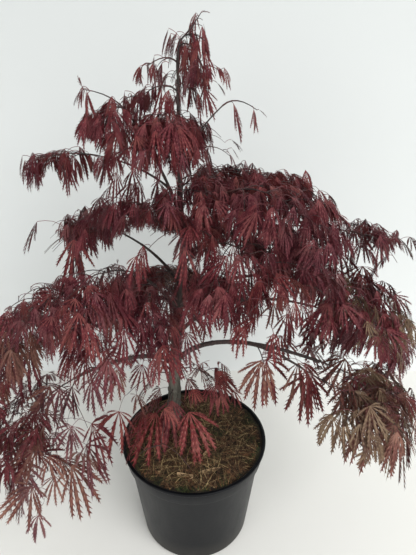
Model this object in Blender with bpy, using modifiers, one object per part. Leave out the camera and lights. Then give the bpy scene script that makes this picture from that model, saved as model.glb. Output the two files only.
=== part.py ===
"""Potted Japanese maple of the cut-leaf weeping kind, in a round black nursery pot.

Metres, +Z up. The origin is the centre of the pot's flat underside, and -Y is the plant's front.
The pot, the compost, the trunk, each bough and each mass of foliage are separate solids.
"""

import math
import random
from collections import namedtuple
from itertools import combinations

import bmesh
import bpy
import numpy as np
from mathutils import Matrix, Vector
from mathutils.bvhtree import BVHTree

# ---- driving dimensions -------------------------------------------------------------------

CLEARANCE = 0.0003  # between pieces that touch
WELD = 1e-6  # points this near are one point
SEED = 21

POT_HEIGHT = 0.216
POT_RIM_RADIUS = 0.140
POT_BASE_RADIUS = 0.1085
POT_WALL = 0.0024
POT_FLOOR = 0.004
POT_LIP_HEIGHT = 0.0055
POT_LIP_WIDTH = 0.0035  # how far the rolled rim stands out of the collar
POT_LIP_ROUND = 0.0014
POT_COLLAR_HEIGHT = 0.031
POT_COLLAR_TAPER = 0.0025  # how much narrower the collar is at its foot
POT_COLLAR_STEP = 0.0062
POT_CORNER = 0.009  # radius of the edge between wall and underside
POT_SIDES = 32
DRAIN_HOLES = 6
DRAIN_SIDES = 8
DRAIN_RADIUS = 0.007
DRAIN_CIRCLE = 0.076

SOIL_TOP = POT_HEIGHT - 0.011
SOIL_FLAT_RADIUS = 0.112  # the level ground round the trunk
SOIL_EDGE_DROP = 0.006

# Height, lean to the right, lean to the back and radius at each place where the trunk changes.
TrunkStation = namedtuple("TrunkStation", "height x y radius")
TRUNK = (
    TrunkStation(SOIL_TOP + CLEARANCE, -0.0440, 0.0360, 0.0180),
    TrunkStation(0.212, -0.0440, 0.0360, 0.0155),
    TrunkStation(0.232, -0.0425, 0.0355, 0.0132),
    TrunkStation(0.300, -0.0390, 0.0340, 0.0117),
    TrunkStation(0.368, -0.0360, 0.0330, 0.0110),
    TrunkStation(0.440, -0.0280, 0.0310, 0.0083),
    TrunkStation(0.560, -0.0190, 0.0300, 0.0062),
    TrunkStation(0.615, -0.0100, 0.0300, 0.0056),
    TrunkStation(0.650, -0.0180, 0.0300, 0.0047),
    TrunkStation(0.760, -0.0170, 0.0300, 0.0035),
    TrunkStation(0.830, -0.0170, 0.0300, 0.0025),
    TrunkStation(0.883, -0.0160, 0.0300, 0.0018),
    TrunkStation(0.910, -0.0120, 0.0300, 0.0014),
)
TRUNK_SIDES = 10

# A bough leaves the trunk at a height, or another bough at a share of its length. It sets out
# on a bearing (0 is right, 90 is back), climbs, turns by its sweep and arches over to its tip.
Bough = namedtuple("Bough", "carrier at bearing sweep reach climb tip_height radius")
BOUGHS = {
    "bough_right_low": Bough("trunk", 0.362, -32, 18, 0.265, 60, 0.412, 0.0052),
    "bough_right_low_fork": Bough("bough_right_low", 0.58, -50, 10, 0.130, 26, 0.440, 0.0034),
    "bough_left_low": Bough("trunk", 0.368, -150, -14, 0.185, 40, 0.366, 0.0048),
    "bough_left_low_far": Bough("trunk", 0.408, 170, 10, 0.230, 42, 0.412, 0.0038),
    "bough_right_low_far": Bough("trunk", 0.428, 22, -12, 0.260, 44, 0.462, 0.0038),
    "bough_left_dome": Bough("trunk", 0.468, -112, -20, 0.080, 64, 0.574, 0.0036),
    "bough_left_far": Bough("trunk", 0.490, -174, -6, 0.180, 34, 0.500, 0.0034),
    "bough_right_mid": Bough("trunk", 0.496, -36, 20, 0.175, 46, 0.574, 0.0036),
    "bough_back_left": Bough("trunk", 0.530, 138, 10, 0.120, 44, 0.600, 0.0032),
    "bough_front_mid": Bough("trunk", 0.548, -74, 16, 0.085, 56, 0.630, 0.0032),
    "bough_back_right": Bough("trunk", 0.566, 62, -16, 0.120, 56, 0.680, 0.0032),
    "bough_right_far": Bough("trunk", 0.584, -10, 12, 0.190, 38, 0.636, 0.0032),
    "bough_right_fountain": Bough("trunk", 0.630, -58, 18, 0.090, 56, 0.708, 0.0028),
    "bough_left_thin": Bough("trunk", 0.620, -160, -12, 0.100, 42, 0.664, 0.0024),
    "bough_left_high": Bough("trunk", 0.656, -160, 8, 0.074, 72, 0.812, 0.0027),
    "bough_left_twig": Bough("bough_left_high", 0.28, 174, 6, 0.108, 40, 0.752, 0.0019),
    "bough_right_twig": Bough("trunk", 0.728, 0, 6, 0.066, 70, 0.822, 0.0018),
}
BOUGH_TIP_SHARE = 0.5  # the tip's radius as a share of the root's
BOUGH_STEPS = 6
BOUGH_SIDES = 6
BEND_SHARE = 0.5  # how far a limb keeps its first heading, as a share of the way to its tip

# A mass grows from its carrier on a bearing, through a space of its own: an egg of this reach,
# width and fall, whose long axis dips below level.
Mass = namedtuple("Mass", "carrier at bearing reach width fall dip")
MASSES = {
    "foliage_crest": Mass("trunk", 0.907, 20, 0.064, 0.120, 0.150, -48),
    "foliage_tip_right": Mass("trunk", 0.900, -30, 0.064, 0.090, 0.170, 34),
    "foliage_tip_left": Mass("trunk", 0.880, -160, 0.060, 0.090, 0.130, 6),
    "foliage_tip_back": Mass("trunk", 0.864, 70, 0.090, 0.120, 0.160, 22),
    "foliage_upper_left": Mass("trunk", 0.842, -150, 0.090, 0.120, 0.160, 10),
    "foliage_upper_right": Mass("trunk", 0.800, -44, 0.085, 0.115, 0.165, 34),
    "foliage_upper_front": Mass("trunk", 0.804, -112, 0.150, 0.160, 0.190, 18),
    "foliage_upper_back": Mass("trunk", 0.782, 85, 0.160, 0.180, 0.180, 20),
    "foliage_high_left": Mass("bough_left_high", 1, -158, 0.095, 0.140, 0.180, -30),
    "foliage_right_twig": Mass("bough_right_twig", 1, -6, 0.070, 0.080, 0.110, 6),
    "foliage_left_twig": Mass("bough_left_twig", 1, -179, 0.110, 0.120, 0.130, 2),
    "foliage_centre_left": Mass("trunk", 0.644, -134, 0.165, 0.180, 0.130, -27),
    "foliage_centre_right": Mass("trunk", 0.712, -22, 0.150, 0.160, 0.180, 26),
    "foliage_centre_front": Mass("trunk", 0.700, -84, 0.180, 0.190, 0.190, 18),
    "foliage_left_thin": Mass("bough_left_thin", 1, -172, 0.125, 0.160, 0.160, 14),
    "foliage_left_inner": Mass("trunk", 0.546, -172, 0.160, 0.170, 0.150, 24),
    "foliage_right_shoulder": Mass("trunk", 0.700, 22, 0.220, 0.190, 0.170, 2),
    "foliage_right_fountain": Mass("bough_right_fountain", 1, -28, 0.180, 0.200, 0.190, 14),
    "foliage_right_back": Mass("bough_back_right", 1, 20, 0.200, 0.220, 0.180, 8),
    "foliage_right_inner": Mass("bough_right_far", 0.5, -34, 0.190, 0.170, 0.180, 16),
    "foliage_right_far": Mass("bough_right_far", 1, -2, 0.210, 0.230, 0.190, 10),
    "foliage_back_left": Mass("bough_back_left", 1, 140, 0.200, 0.220, 0.180, 16),
    "foliage_left_dome": Mass("bough_left_dome", 1, -152, 0.220, 0.240, 0.210, 10),
    "foliage_left_dome_front": Mass("bough_left_dome", 0.75, -108, 0.200, 0.220, 0.210, 16),
    "foliage_left_far": Mass("bough_left_far", 1, -178, 0.200, 0.210, 0.180, 24),
    "foliage_front_mid": Mass("bough_front_mid", 1, -46, 0.210, 0.230, 0.180, 8),
    "foliage_right_mid": Mass("bough_right_mid", 1, -10, 0.230, 0.240, 0.220, 22),
    "foliage_back_mid": Mass("trunk", 0.610, 92, 0.190, 0.200, 0.180, 14),
    "foliage_back_low": Mass("trunk", 0.450, 104, 0.310, 0.230, 0.190, 2),
    "foliage_back_right_low": Mass("trunk", 0.470, 48, 0.230, 0.200, 0.180, 8),
    "foliage_right_low_far": Mass("bough_right_low_far", 1, 6, 0.200, 0.220, 0.200, 20),
    "foliage_left_low_far": Mass("bough_left_low_far", 1, 176, 0.190, 0.210, 0.200, 28),
    "foliage_left_low": Mass("bough_left_low", 1, -160, 0.210, 0.190, 0.220, 42),
    "foliage_left_low_front": Mass("bough_left_low", 0.8, -116, 0.250, 0.220, 0.230, 36),
    "foliage_right_low": Mass("bough_right_low", 1, -2, 0.190, 0.200, 0.190, 27),
    "foliage_right_low_front": Mass("bough_right_low_fork", 1, -12, 0.185, 0.200, 0.190, 20),
    "foliage_right_low_inner": Mass("bough_right_low", 0.66, -60, 0.110, 0.120, 0.130, 46),
    "foliage_foot_left": Mass("trunk", 0.335, -165, 0.130, 0.140, 0.140, 16),
    "foliage_foot_right": Mass("trunk", 0.345, -14, 0.140, 0.140, 0.140, 12),
    "foliage_foot_front": Mass("trunk", 0.300, -100, 0.160, 0.180, 0.140, 22),
}
SPACE_DROP = 0.24  # how far the egg's middle hangs below its stem, as a share of its fall
SPACE_OVERHANG = 1.25  # leaf tips may reach this much further than the egg that holds the twigs

# ---- twigs and leaves ---------------------------------------------------------------------

TWIG_RADIUS = 0.0022
TWIG_TIP_SHARE = 0.6
STEM_CLIMB = 42  # of a stem that leaves the trunk
STEM_SHARE = 0.74  # how far through its space a stem runs
STEM_STEPS = 4
SEAT_TRIES = 8  # slides of a stem's root that bring it to its clearance from its carrier
SIDE_PLACES = (0.42, 0.76)  # shares of the stem where a pair of side twigs leaves it
SIDE_ANGLE = 56  # between a side twig and its stem, seen from above
SIDE_ANGLE_STRAY = 12
SIDE_SHARE = 0.34  # a side twig's length as a share of the space's width
SIDE_LENGTHS = (0.8, 1.1)
SIDE_THICKNESS = 0.8  # of a side twig, as a share of the stem's
SIDE_CLIMB = 10
SIDE_FALL = 0.35  # how far a side twig's tip hangs, as a share of its length
SIDE_STEPS = 1

LEAF_LENGTH_LOW = 0.110  # from the leaf's middle to its longest tip, in the lowest foliage
LEAF_LENGTH_HIGH = 0.054  # and in the highest
LEAF_THICKNESS = 0.0024
LEAF_LOBES = ((0, 1.0), (36, 0.9), (72, 0.66))  # bearing and share of the length of each lobe
LEAF_NOTCH = 0.32  # how near the middle the cuts between lobes reach, as a share of the length
LEAF_STALK = 0.10  # from the leaf's middle back to its root, as a share of the length
LEAF_ROOT = 0.0002  # how far the leaf's root stops short of its twig's middle
LEAF_DROOP = 0.45  # how far the longest tip hangs out of the leaf's plane, as a share
LEAF_HANGS = (14, 52)  # degrees that the leaf's plane falls away from its twig
LEAF_SIZES = (0.86, 1.08)
STEM_LEAF_PLACES = (0.3, 0.62)  # shares of a stem where a pair of leaves stands
SIDE_LEAF_PLACES = (0.5,)  # and of a side twig
TIP_LEAF_PLACE = 0.98  # every twig has one more leaf at its tip
PAIR_STAGGER = 0.05  # of a pair's two leaves along their twig, as a share of its length
LEAF_SPREAD = 80  # between a leaf and the twig that it stands on
LEAF_STRAY = 18  # degrees either way, of a leaf's bearing and of its roll
LEAF_TRIES = 6
LEAF_SHRINK = 0.05  # each next try is this much smaller
LEAF_MARGIN = 0.0012  # kept between a leaf and what it must not touch

# ---- scene and materials ------------------------------------------------------------------


def clear_scene():
    for old in list(bpy.data.objects):
        bpy.data.objects.remove(old)


def new_collection(name, hidden=False):
    collection = bpy.data.collections.new(name)
    collection.hide_render = hidden
    bpy.context.scene.collection.children.link(collection)
    return collection


def material(name, colour, roughness, metallic=0):
    made = bpy.data.materials.new(name)
    made.use_nodes = True
    shader = made.node_tree.nodes["Principled BSDF"]
    shader.inputs["Base Color"].default_value = (*colour, 1)
    shader.inputs["Roughness"].default_value = roughness
    shader.inputs["Metallic"].default_value = metallic
    made.diffuse_color = (*colour, 1)
    return made


def add_object(name, mesh, collection, surface=None):
    made = bpy.data.objects.new(name, mesh)
    collection.objects.link(made)
    if surface:
        mesh.materials.clear()
        mesh.materials.append(surface)
    return made


def hide_cutter(cutter):
    cutter.hide_render = True
    cutter.display_type = "WIRE"


def mesh_of(bm, name):
    """The bmesh as a mesh with its faces pointing out."""
    bmesh.ops.recalc_face_normals(bm, faces=bm.faces)
    mesh = bpy.data.meshes.new(name)
    bm.to_mesh(mesh)
    bm.free()
    return mesh


def evaluated(source):
    """The object's curve or modifiers turned into faces, as a bmesh."""
    graph = bpy.context.evaluated_depsgraph_get()
    mesh = bpy.data.meshes.new_from_object(source.evaluated_get(graph))
    bm = bmesh.new()
    bm.from_mesh(mesh)
    bpy.data.meshes.remove(mesh)
    return bm


# ---- pot and compost ----------------------------------------------------------------------


def turned(name, profile, collection, surface):
    """A solid turned about the pot's axis from a profile that ends with its outer side."""
    mesh = bpy.data.meshes.new(name)
    points = [(radius, 0, height) for radius, height in profile]
    mesh.from_pydata(points, [(i, i + 1) for i in range(len(points) - 1)], [])
    body = add_object(name, mesh, collection, surface)
    screw = body.modifiers.new("Turn", "SCREW")
    screw.steps = POT_SIDES
    screw.render_steps = POT_SIDES
    screw.use_merge_vertices = True
    screw.merge_threshold = WELD
    screw.use_smooth_shade = True
    return body


def pot_wall_outside():
    """The wall's outer side below the rolled rim, from the collar down to the corner's start."""
    collar_top = POT_RIM_RADIUS - POT_LIP_WIDTH
    collar_foot = collar_top - POT_COLLAR_TAPER
    collar_base = POT_HEIGHT - POT_COLLAR_HEIGHT
    return [
        (collar_top, POT_HEIGHT - POT_LIP_HEIGHT),
        (collar_foot, collar_base),
        (collar_foot - POT_COLLAR_STEP, collar_base - POT_COLLAR_STEP),
        (POT_BASE_RADIUS, POT_CORNER),
    ]


def pot_profile():
    outside = pot_wall_outside()
    inside = [(radius - POT_WALL, height) for radius, height in reversed(outside)]
    floor_edge = (inside[0][0], POT_FLOOR)
    lip_inner = POT_RIM_RADIUS - POT_LIP_WIDTH - POT_WALL
    rim = [
        (lip_inner, POT_HEIGHT),
        (POT_RIM_RADIUS - POT_LIP_ROUND, POT_HEIGHT),
        (POT_RIM_RADIUS, POT_HEIGHT - POT_LIP_ROUND),
        (POT_RIM_RADIUS, POT_HEIGHT - POT_LIP_HEIGHT + POT_LIP_ROUND),
    ]
    corner_turns = [math.radians(angle) for angle in (45, 90)]
    corner = [
        (
            POT_BASE_RADIUS - POT_CORNER + POT_CORNER * math.cos(turn),
            POT_CORNER - POT_CORNER * math.sin(turn),
        )
        for turn in corner_turns
    ]
    return [(0, POT_FLOOR), floor_edge, *inside[1:], *rim, *outside, *corner, (0, 0)]


def make_pot(collection, cutters, surface):
    pot = turned("pot", pot_profile(), collection, surface)
    bm = bmesh.new()
    for hole in range(DRAIN_HOLES):
        turn = math.tau * hole / DRAIN_HOLES
        place = Vector((math.cos(turn), math.sin(turn), 0)) * DRAIN_CIRCLE
        bmesh.ops.create_cone(
            bm,
            segments=DRAIN_SIDES,
            cap_ends=True,
            radius1=DRAIN_RADIUS,
            radius2=DRAIN_RADIUS,
            depth=4 * POT_FLOOR,  # right through the floor
            matrix=Matrix.Translation(place),
        )
    holes = add_object("drain_holes", mesh_of(bm, "drain_holes"), cutters)
    hide_cutter(holes)
    drill = pot.modifiers.new("Drain holes", "BOOLEAN")
    drill.operation = "DIFFERENCE"
    drill.object = holes
    return pot


def make_soil(collection, surface):
    """Compost that fills the pot, level round the trunk and a little lower along the wall."""
    wall = pot_wall_outside()
    edge_height = SOIL_TOP - SOIL_EDGE_DROP
    inset = POT_WALL + CLEARANCE
    collar_radius = wall[1][0] + (edge_height - wall[1][1]) * (
        (wall[0][0] - wall[1][0]) / (wall[0][1] - wall[1][1])
    )
    profile = [
        (0, SOIL_TOP),
        (SOIL_FLAT_RADIUS, SOIL_TOP),
        (collar_radius - inset, edge_height),
        *[(radius - inset, height) for radius, height in wall[1:3]],
        (wall[3][0] - inset, POT_FLOOR + CLEARANCE),
        (0, POT_FLOOR + CLEARANCE),
    ]
    return turned("compost", profile, collection, surface)


# ---- limbs --------------------------------------------------------------------------------


def heading(bearing, climb):
    turn = math.radians(bearing)
    rise = math.radians(climb)
    level = math.cos(rise)
    return Vector((math.cos(turn) * level, math.sin(turn) * level, math.sin(rise)))


def arch(start, setting_out, end, steps):
    """Points of a limb that sets out one way and bends over evenly to its end."""
    middle = start + setting_out * BEND_SHARE * (end - start).length
    points = []
    for step in range(steps + 1):
        share = step / steps
        points.append(start.lerp(middle, share).lerp(middle.lerp(end, share), share))
    return points


def tapered(root_radius, tip_radius, count):
    return [
        root_radius + (tip_radius - root_radius) * step / (count - 1) for step in range(count)
    ]


def limb_mesh(name, points, radii, sides=0, section=None):
    """A tapering limb along the points, round with this many sides or of the section's shape."""
    curve = bpy.data.curves.new(name, "CURVE")
    curve.dimensions = "3D"
    curve.use_fill_caps = True
    if section:
        curve.bevel_mode = "OBJECT"
        curve.bevel_object = section
    else:
        curve.bevel_depth = 1
        curve.bevel_resolution = sides // 2 - 2
    spline = curve.splines.new("POLY")
    spline.points.add(len(points) - 1)
    for knot, point, radius in zip(spline.points, points, radii):
        knot.co = (*point, 1)
        knot.radius = radius
    guide = bpy.data.objects.new(name, curve)
    bpy.context.scene.collection.objects.link(guide)
    bm = evaluated(guide)
    bmesh.ops.remove_doubles(bm, verts=bm.verts, dist=WELD)
    bpy.data.objects.remove(guide)
    bpy.data.curves.remove(curve)
    return mesh_of(bm, name)


def trunk_at(height):
    """The trunk's middle and its radius at a height."""
    heights = [station.height for station in TRUNK]
    x, y, radius = (
        float(np.interp(height, heights, [getattr(station, part) for station in TRUNK]))
        for part in ("x", "y", "radius")
    )
    return Vector((x, y, height)), radius


def bough_points(name):
    bough = BOUGHS[name]
    if bough.carrier == "trunk":
        start, _ = trunk_at(bough.at)
    else:
        start = along(bough_points(bough.carrier), bough.at)
    end = start + heading(bough.bearing + bough.sweep, 0) * bough.reach
    end.z = bough.tip_height
    return arch(start, heading(bough.bearing, bough.climb), end, BOUGH_STEPS)


def along(points, share):
    """The place at a share of the way through the points."""
    place = share * (len(points) - 1)
    step = min(int(place), len(points) - 2)
    return points[step].lerp(points[step + 1], place - step)


def make_limbs(collection, cutters, surface):
    """The trunk and the boughs, each bough cut clear of what carries it."""
    stations = [Vector((s.x, s.y, s.height)) for s in TRUNK]
    routes = {"trunk": (stations, [s.radius for s in TRUNK], TRUNK_SIDES)}
    for name, bough in BOUGHS.items():
        radii = tapered(bough.radius, bough.radius * BOUGH_TIP_SHARE, BOUGH_STEPS + 1)
        routes[name] = (bough_points(name), radii, BOUGH_SIDES)
    for name, (points, radii, sides) in routes.items():
        limb = add_object(name, limb_mesh(name, points, radii, sides), collection, surface)
        limb.data.shade_smooth()
        if name == "trunk":
            continue
        carrier = BOUGHS[name].carrier
        clear_name = carrier + "_clearance"
        if clear_name not in bpy.data.objects:
            around, thick, edges = routes[carrier]
            wider = [radius + CLEARANCE for radius in thick]
            mesh = limb_mesh(clear_name, around, wider, edges)
            hide_cutter(add_object(clear_name, mesh, cutters))
        cut = limb.modifiers.new("Clear of " + carrier, "BOOLEAN")
        cut.operation = "DIFFERENCE"
        cut.object = bpy.data.objects[clear_name]
    return [bpy.data.objects[name] for name in routes]


# ---- foliage ------------------------------------------------------------------------------

Twig = namedtuple("Twig", "points radii")


class Space:
    """The egg-shaped space that a mass keeps to."""

    def __init__(self, root, mass):
        axis = heading(mass.bearing, -mass.dip)
        side = Vector((0, 0, 1)).cross(axis).normalized()
        self.axes = (axis, side, axis.cross(side))
        self.halves = (mass.reach / 2, mass.width / 2, mass.fall / 2)
        self.middle = root + axis * mass.reach / 2 - Vector((0, 0, SPACE_DROP * mass.fall))

    def holds(self, point, overhang=1.0):
        offset = point - self.middle
        shares = [offset.dot(axis) / half for axis, half in zip(self.axes, self.halves)]
        return sum(share * share for share in shares) <= overhang * overhang


class Obstacles:
    """Shapes that a new twig or leaf must not touch."""

    def __init__(self):
        self.shapes = []

    def add(self, points, faces, owner=None):
        middle = sum(points, Vector()) / len(points)
        size = max((point - middle).length for point in points)
        self.shapes.append((middle, size, BVHTree.FromPolygons(points, faces), owner))

    def touched(self, points, faces, leaving=None):
        """Whether a shape touches any other, leaving out those of one owner."""
        middle = sum(points, Vector()) / len(points)
        size = max((point - middle).length for point in points)
        tree = BVHTree.FromPolygons(points, faces)
        for other_middle, other_size, other, owner in self.shapes:
            near = (middle - other_middle).length < size + other_size
            if near and (owner is None or owner != leaving) and tree.overlap(other):
                return True
        return False


def mesh_shape(mesh):
    return [v.co.copy() for v in mesh.vertices], [tuple(p.vertices) for p in mesh.polygons]


def shape_of(mesh):
    """The mesh's points and faces, with the mesh itself dropped."""
    shape = mesh_shape(mesh)
    bpy.data.meshes.remove(mesh)
    return shape


def leaf_ring(length, stalk):
    """The leaf's outline round its middle, from its root to the left: lobe tips and notches."""
    left = []
    for (bearing, share), (next_bearing, _) in zip(LEAF_LOBES, LEAF_LOBES[1:]):
        left.append((bearing, share))
        left.append(((bearing + next_bearing) / 2, LEAF_NOTCH))
    left.append(LEAF_LOBES[-1])
    right = [(-bearing, share) for bearing, share in left[1:]]
    ring = [(180, stalk), *reversed(left), *right]
    return [(math.radians(bearing), share * length) for bearing, share in ring]


def leaf_mesh(length, placement, stalk=LEAF_STALK, margin=0.0):
    """A thin star-shaped leaf that stands on the placement's origin and droops at its tips."""
    ring = leaf_ring(length + margin, stalk)
    middle = Matrix.Translation((LEAF_STALK * length + LEAF_ROOT, 0, 0))
    bm = bmesh.new()
    bmesh.ops.create_uvsphere(bm, u_segments=len(ring), v_segments=2, radius=1)
    for vertex in bm.verts:
        if abs(vertex.co.z) > 0.5:
            vertex.co = (0, 0, math.copysign(LEAF_THICKNESS / 2 + margin, vertex.co.z))
            continue
        turn = math.atan2(vertex.co.y, vertex.co.x) / math.tau
        bearing, distance = ring[round(turn * len(ring)) % len(ring)]
        droop = LEAF_DROOP * distance * distance / length
        vertex.co = (distance * math.cos(bearing), -distance * math.sin(bearing), -droop)
    bmesh.ops.transform(bm, matrix=placement @ middle, verts=bm.verts)
    return mesh_of(bm, "leaf")


def leaf_length(height):
    share = (height - POT_HEIGHT) / (TRUNK[-1].height - POT_HEIGHT)
    return LEAF_LENGTH_LOW + (LEAF_LENGTH_HIGH - LEAF_LENGTH_LOW) * min(max(share, 0), 1)


def stem_root(mass):
    """Where the mass's stem could start, well clear of its carrier, and which way it sets out."""
    if mass.carrier == "trunk":
        middle, radius = trunk_at(mass.at)
        axis = Vector((0, 0, 1))
    else:
        points = bough_points(mass.carrier)
        if mass.at == 1:
            out = (points[-1] - points[-2]).normalized()
            return points[-1] + out * CLEARANCE, out
        middle = along(points, mass.at)
        axis = (along(points, mass.at + 0.1) - middle).normalized()
        radius = BOUGHS[mass.carrier].radius * (1 - (1 - BOUGH_TIP_SHARE) * mass.at)
    out = heading(mass.bearing, STEM_CLIMB)
    slant = out.angle(axis)
    gap = radius + CLEARANCE + TWIG_RADIUS * abs(math.cos(slant))
    return middle + out * gap / math.sin(slant), out


def root_gap(mesh, root, carrier):
    """How far a stem's end lies from its carrier, at the end's corners and between them."""
    corners = [v.co for v in mesh.vertices if (v.co - root).length < 2 * TWIG_RADIUS]
    between = [one.lerp(other, 0.5) for one, other in combinations(corners, 2)]
    return min(carrier.find_nearest(spot)[3] for spot in corners + between)


def grow_stem(mass, carrier, section):
    """The mass's stem and its mesh, slid along its heading until it meets its carrier."""
    root, out = stem_root(mass)
    radii = tapered(TWIG_RADIUS, TWIG_RADIUS * TWIG_TIP_SHARE, STEM_STEPS + 1)
    for _ in range(SEAT_TRIES):
        end = root + heading(mass.bearing, -mass.dip) * mass.reach * STEM_SHARE
        stem = Twig(arch(root, out, end, STEM_STEPS), radii)
        mesh = limb_mesh("stem", stem.points, stem.radii, section=section)
        if mass.at == 1:
            break
        root = root - out * (root_gap(mesh, root, carrier) - CLEARANCE)
    return stem, mesh


def grow_side_twigs(mass, stem, rng):
    """Pairs of twigs that leave the stem to both sides and hang at their tips."""
    root_radius = TWIG_RADIUS * SIDE_THICKNESS
    twigs = []
    for place in SIDE_PLACES:
        start = along(stem.points, place)
        for side in (-1, 1):
            bearing = mass.bearing + side * SIDE_ANGLE + rng.uniform(-1, 1) * SIDE_ANGLE_STRAY
            length = mass.width * SIDE_SHARE * rng.uniform(*SIDE_LENGTHS)
            end = start + heading(bearing, 0) * length
            end.z -= SIDE_FALL * length
            points = arch(start, heading(bearing, SIDE_CLIMB), end, SIDE_STEPS)
            radii = tapered(root_radius, root_radius * TWIG_TIP_SHARE, len(points))
            twigs.append(Twig(points, radii))
    return twigs


def leaf_places(stem, twigs):
    """Where leaves stand: the twig's place, its way on and the side that the leaf leaves by."""
    places = []
    for twig in (stem, *twigs):
        shares = STEM_LEAF_PLACES if twig is stem else SIDE_LEAF_PLACES
        way = twig.points[-1] - twig.points[0]
        places.append((along(twig.points, TIP_LEAF_PLACE), way, 0))
        for share in shares:
            places.append((along(twig.points, share - PAIR_STAGGER), way, -1))
            places.append((along(twig.points, share + PAIR_STAGGER), way, 1))
    return places


def leaf_placement(foot, way, side, rng):
    """A leaf's frame: X out along its middle lobe, Z up out of its blade."""
    bearing = math.degrees(math.atan2(way.y, way.x)) + side * LEAF_SPREAD
    stray = rng.uniform(-1, 1) * LEAF_STRAY
    turn = Matrix.Rotation(math.radians(bearing + stray), 4, "Z")
    tip = Matrix.Rotation(math.radians(rng.uniform(*LEAF_HANGS)), 4, "Y")
    roll = Matrix.Rotation(math.radians(rng.uniform(-1, 1) * LEAF_STRAY), 4, "X")
    return Matrix.Translation(foot) @ turn @ tip @ roll


def grow_leaf(foot, way, side, space, obstacles, owner, rng):
    """A leaf that keeps to its space and touches nothing but the twig it stands on, or None."""
    length = leaf_length(foot.z)
    for trial in range(LEAF_TRIES):
        size = length * rng.uniform(*LEAF_SIZES) * (1 - LEAF_SHRINK * trial)
        placement = leaf_placement(foot, way, side, rng)
        whole = shape_of(leaf_mesh(size, placement, LEAF_STALK, LEAF_MARGIN))
        blade = shape_of(leaf_mesh(size, placement, 0, LEAF_MARGIN))
        if not all(space.holds(point, SPACE_OVERHANG) for point in blade[0]):
            continue
        if not obstacles.touched(*blade) and not obstacles.touched(*whole, owner):
            leaf = leaf_mesh(size, placement)
            obstacles.add(*mesh_shape(leaf), owner)
            return leaf
    return None


def drop_scraps(bm):
    """Leaves only the largest body, so loose scraps go and a hollow that the union sealed fills."""
    unseen = set(bm.verts)
    bodies = []
    while unseen:
        body = set()
        edge = {unseen.pop()}
        while edge:
            body |= edge
            edge = {e.other_vert(v) for v in edge for e in v.link_edges} - body
        unseen -= body
        bodies.append(body)
    largest = max(bodies, key=len)
    bmesh.ops.delete(bm, geom=[v for v in bm.verts if v not in largest], context="VERTS")


def fused(name, meshes, collection, surface):
    """One object made of the first mesh with the others joined to it."""
    joined = add_object(name, meshes[0], collection)
    parts = new_collection(name + "_parts", hidden=True)
    for number, mesh in enumerate(meshes[1:]):
        add_object(f"{name}_part_{number}", mesh, parts)
    union = joined.modifiers.new("Join", "BOOLEAN")
    union.operation = "UNION"
    union.operand_type = "COLLECTION"
    union.collection = parts
    union.solver = "MANIFOLD"
    bm = evaluated(joined)
    drop_scraps(bm)
    joined.modifiers.remove(union)
    joined.data = mesh_of(bm, name)
    joined.data.materials.append(surface)
    for part in list(parts.objects):
        bpy.data.objects.remove(part)
    bpy.data.collections.remove(parts)
    return joined


def twig_section():
    """The three-sided section of the twigs."""
    curve = bpy.data.curves.new("twig_section", "CURVE")
    spline = curve.splines.new("POLY")
    spline.points.add(2)
    for corner, knot in enumerate(spline.points):
        turn = math.tau * corner / 3
        knot.co = (math.cos(turn), math.sin(turn), 0, 1)
    spline.use_cyclic_u = True
    return curve


def make_foliage(bodies, collection, cutters, tints):
    """Every mass of foliage, grown clear of the pot, the compost, the limbs and each other."""
    section = add_object("twig_section", twig_section(), cutters)
    section.hide_render = True
    obstacles = Obstacles()
    shapes = {body.name: shape_of(mesh_of(evaluated(body), body.name)) for body in bodies}
    for shape in shapes.values():
        obstacles.add(*shape)
    rngs = {name: random.Random(f"{SEED} {name}") for name in MASSES}
    stems = {}
    meshes = {}
    for name, mass in MASSES.items():
        carrier = BVHTree.FromPolygons(*shapes[mass.carrier])
        stems[name], stem_mesh = grow_stem(mass, carrier, section)
        meshes[name] = [stem_mesh]
        obstacles.add(*mesh_shape(stem_mesh), name)
    spaces = {name: Space(stems[name].points[0], mass) for name, mass in MASSES.items()}
    twigs = {name: [] for name in MASSES}
    for name, mass in MASSES.items():
        for twig in grow_side_twigs(mass, stems[name], rngs[name]):
            mesh = limb_mesh("twig", twig.points, twig.radii, section=section)
            shape = mesh_shape(mesh)
            if not all(map(spaces[name].holds, shape[0])) or obstacles.touched(*shape, name):
                continue
            obstacles.add(*shape, name)
            meshes[name].append(mesh)
            twigs[name].append(twig)
    for name in MASSES:
        for foot, way, side in leaf_places(stems[name], twigs[name]):
            leaf = grow_leaf(foot, way, side, spaces[name], obstacles, name, rngs[name])
            if leaf:
                meshes[name].append(leaf)
    for number, name in enumerate(MASSES):
        fused(name, meshes[name], collection, tints[number % len(tints)])


# ---- the plant ----------------------------------------------------------------------------

clear_scene()
plant = new_collection("potted_japanese_maple")
helpers = new_collection("cutters", hidden=True)
plastic = material("black_plastic", (0.022, 0.023, 0.025), 0.42)
peat = material("compost", (0.060, 0.042, 0.026), 0.95)
bark = material("bark", (0.105, 0.095, 0.075), 0.85)
leaf_tints = [
    material("leaf_plum", (0.095, 0.028, 0.040), 0.55),
    material("leaf_burgundy", (0.135, 0.026, 0.036), 0.55),
    material("leaf_bronze", (0.110, 0.070, 0.050), 0.55),
]
pot = make_pot(plant, helpers, plastic)
soil = make_soil(plant, peat)
tree_limbs = make_limbs(plant, helpers, bark)
make_foliage([pot, soil, *tree_limbs], plant, helpers, leaf_tints)
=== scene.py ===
"""Cut-leaf weeping Japanese maple in a round black nursery pot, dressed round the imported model.

Metres, +Z up. The origin is the centre of the pot's flat underside, and -Y is the plant's front.
"""

import math
import random
from collections import namedtuple

import bmesh
import bpy
import numpy as np
from mathutils import Matrix, Vector, noise


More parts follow.
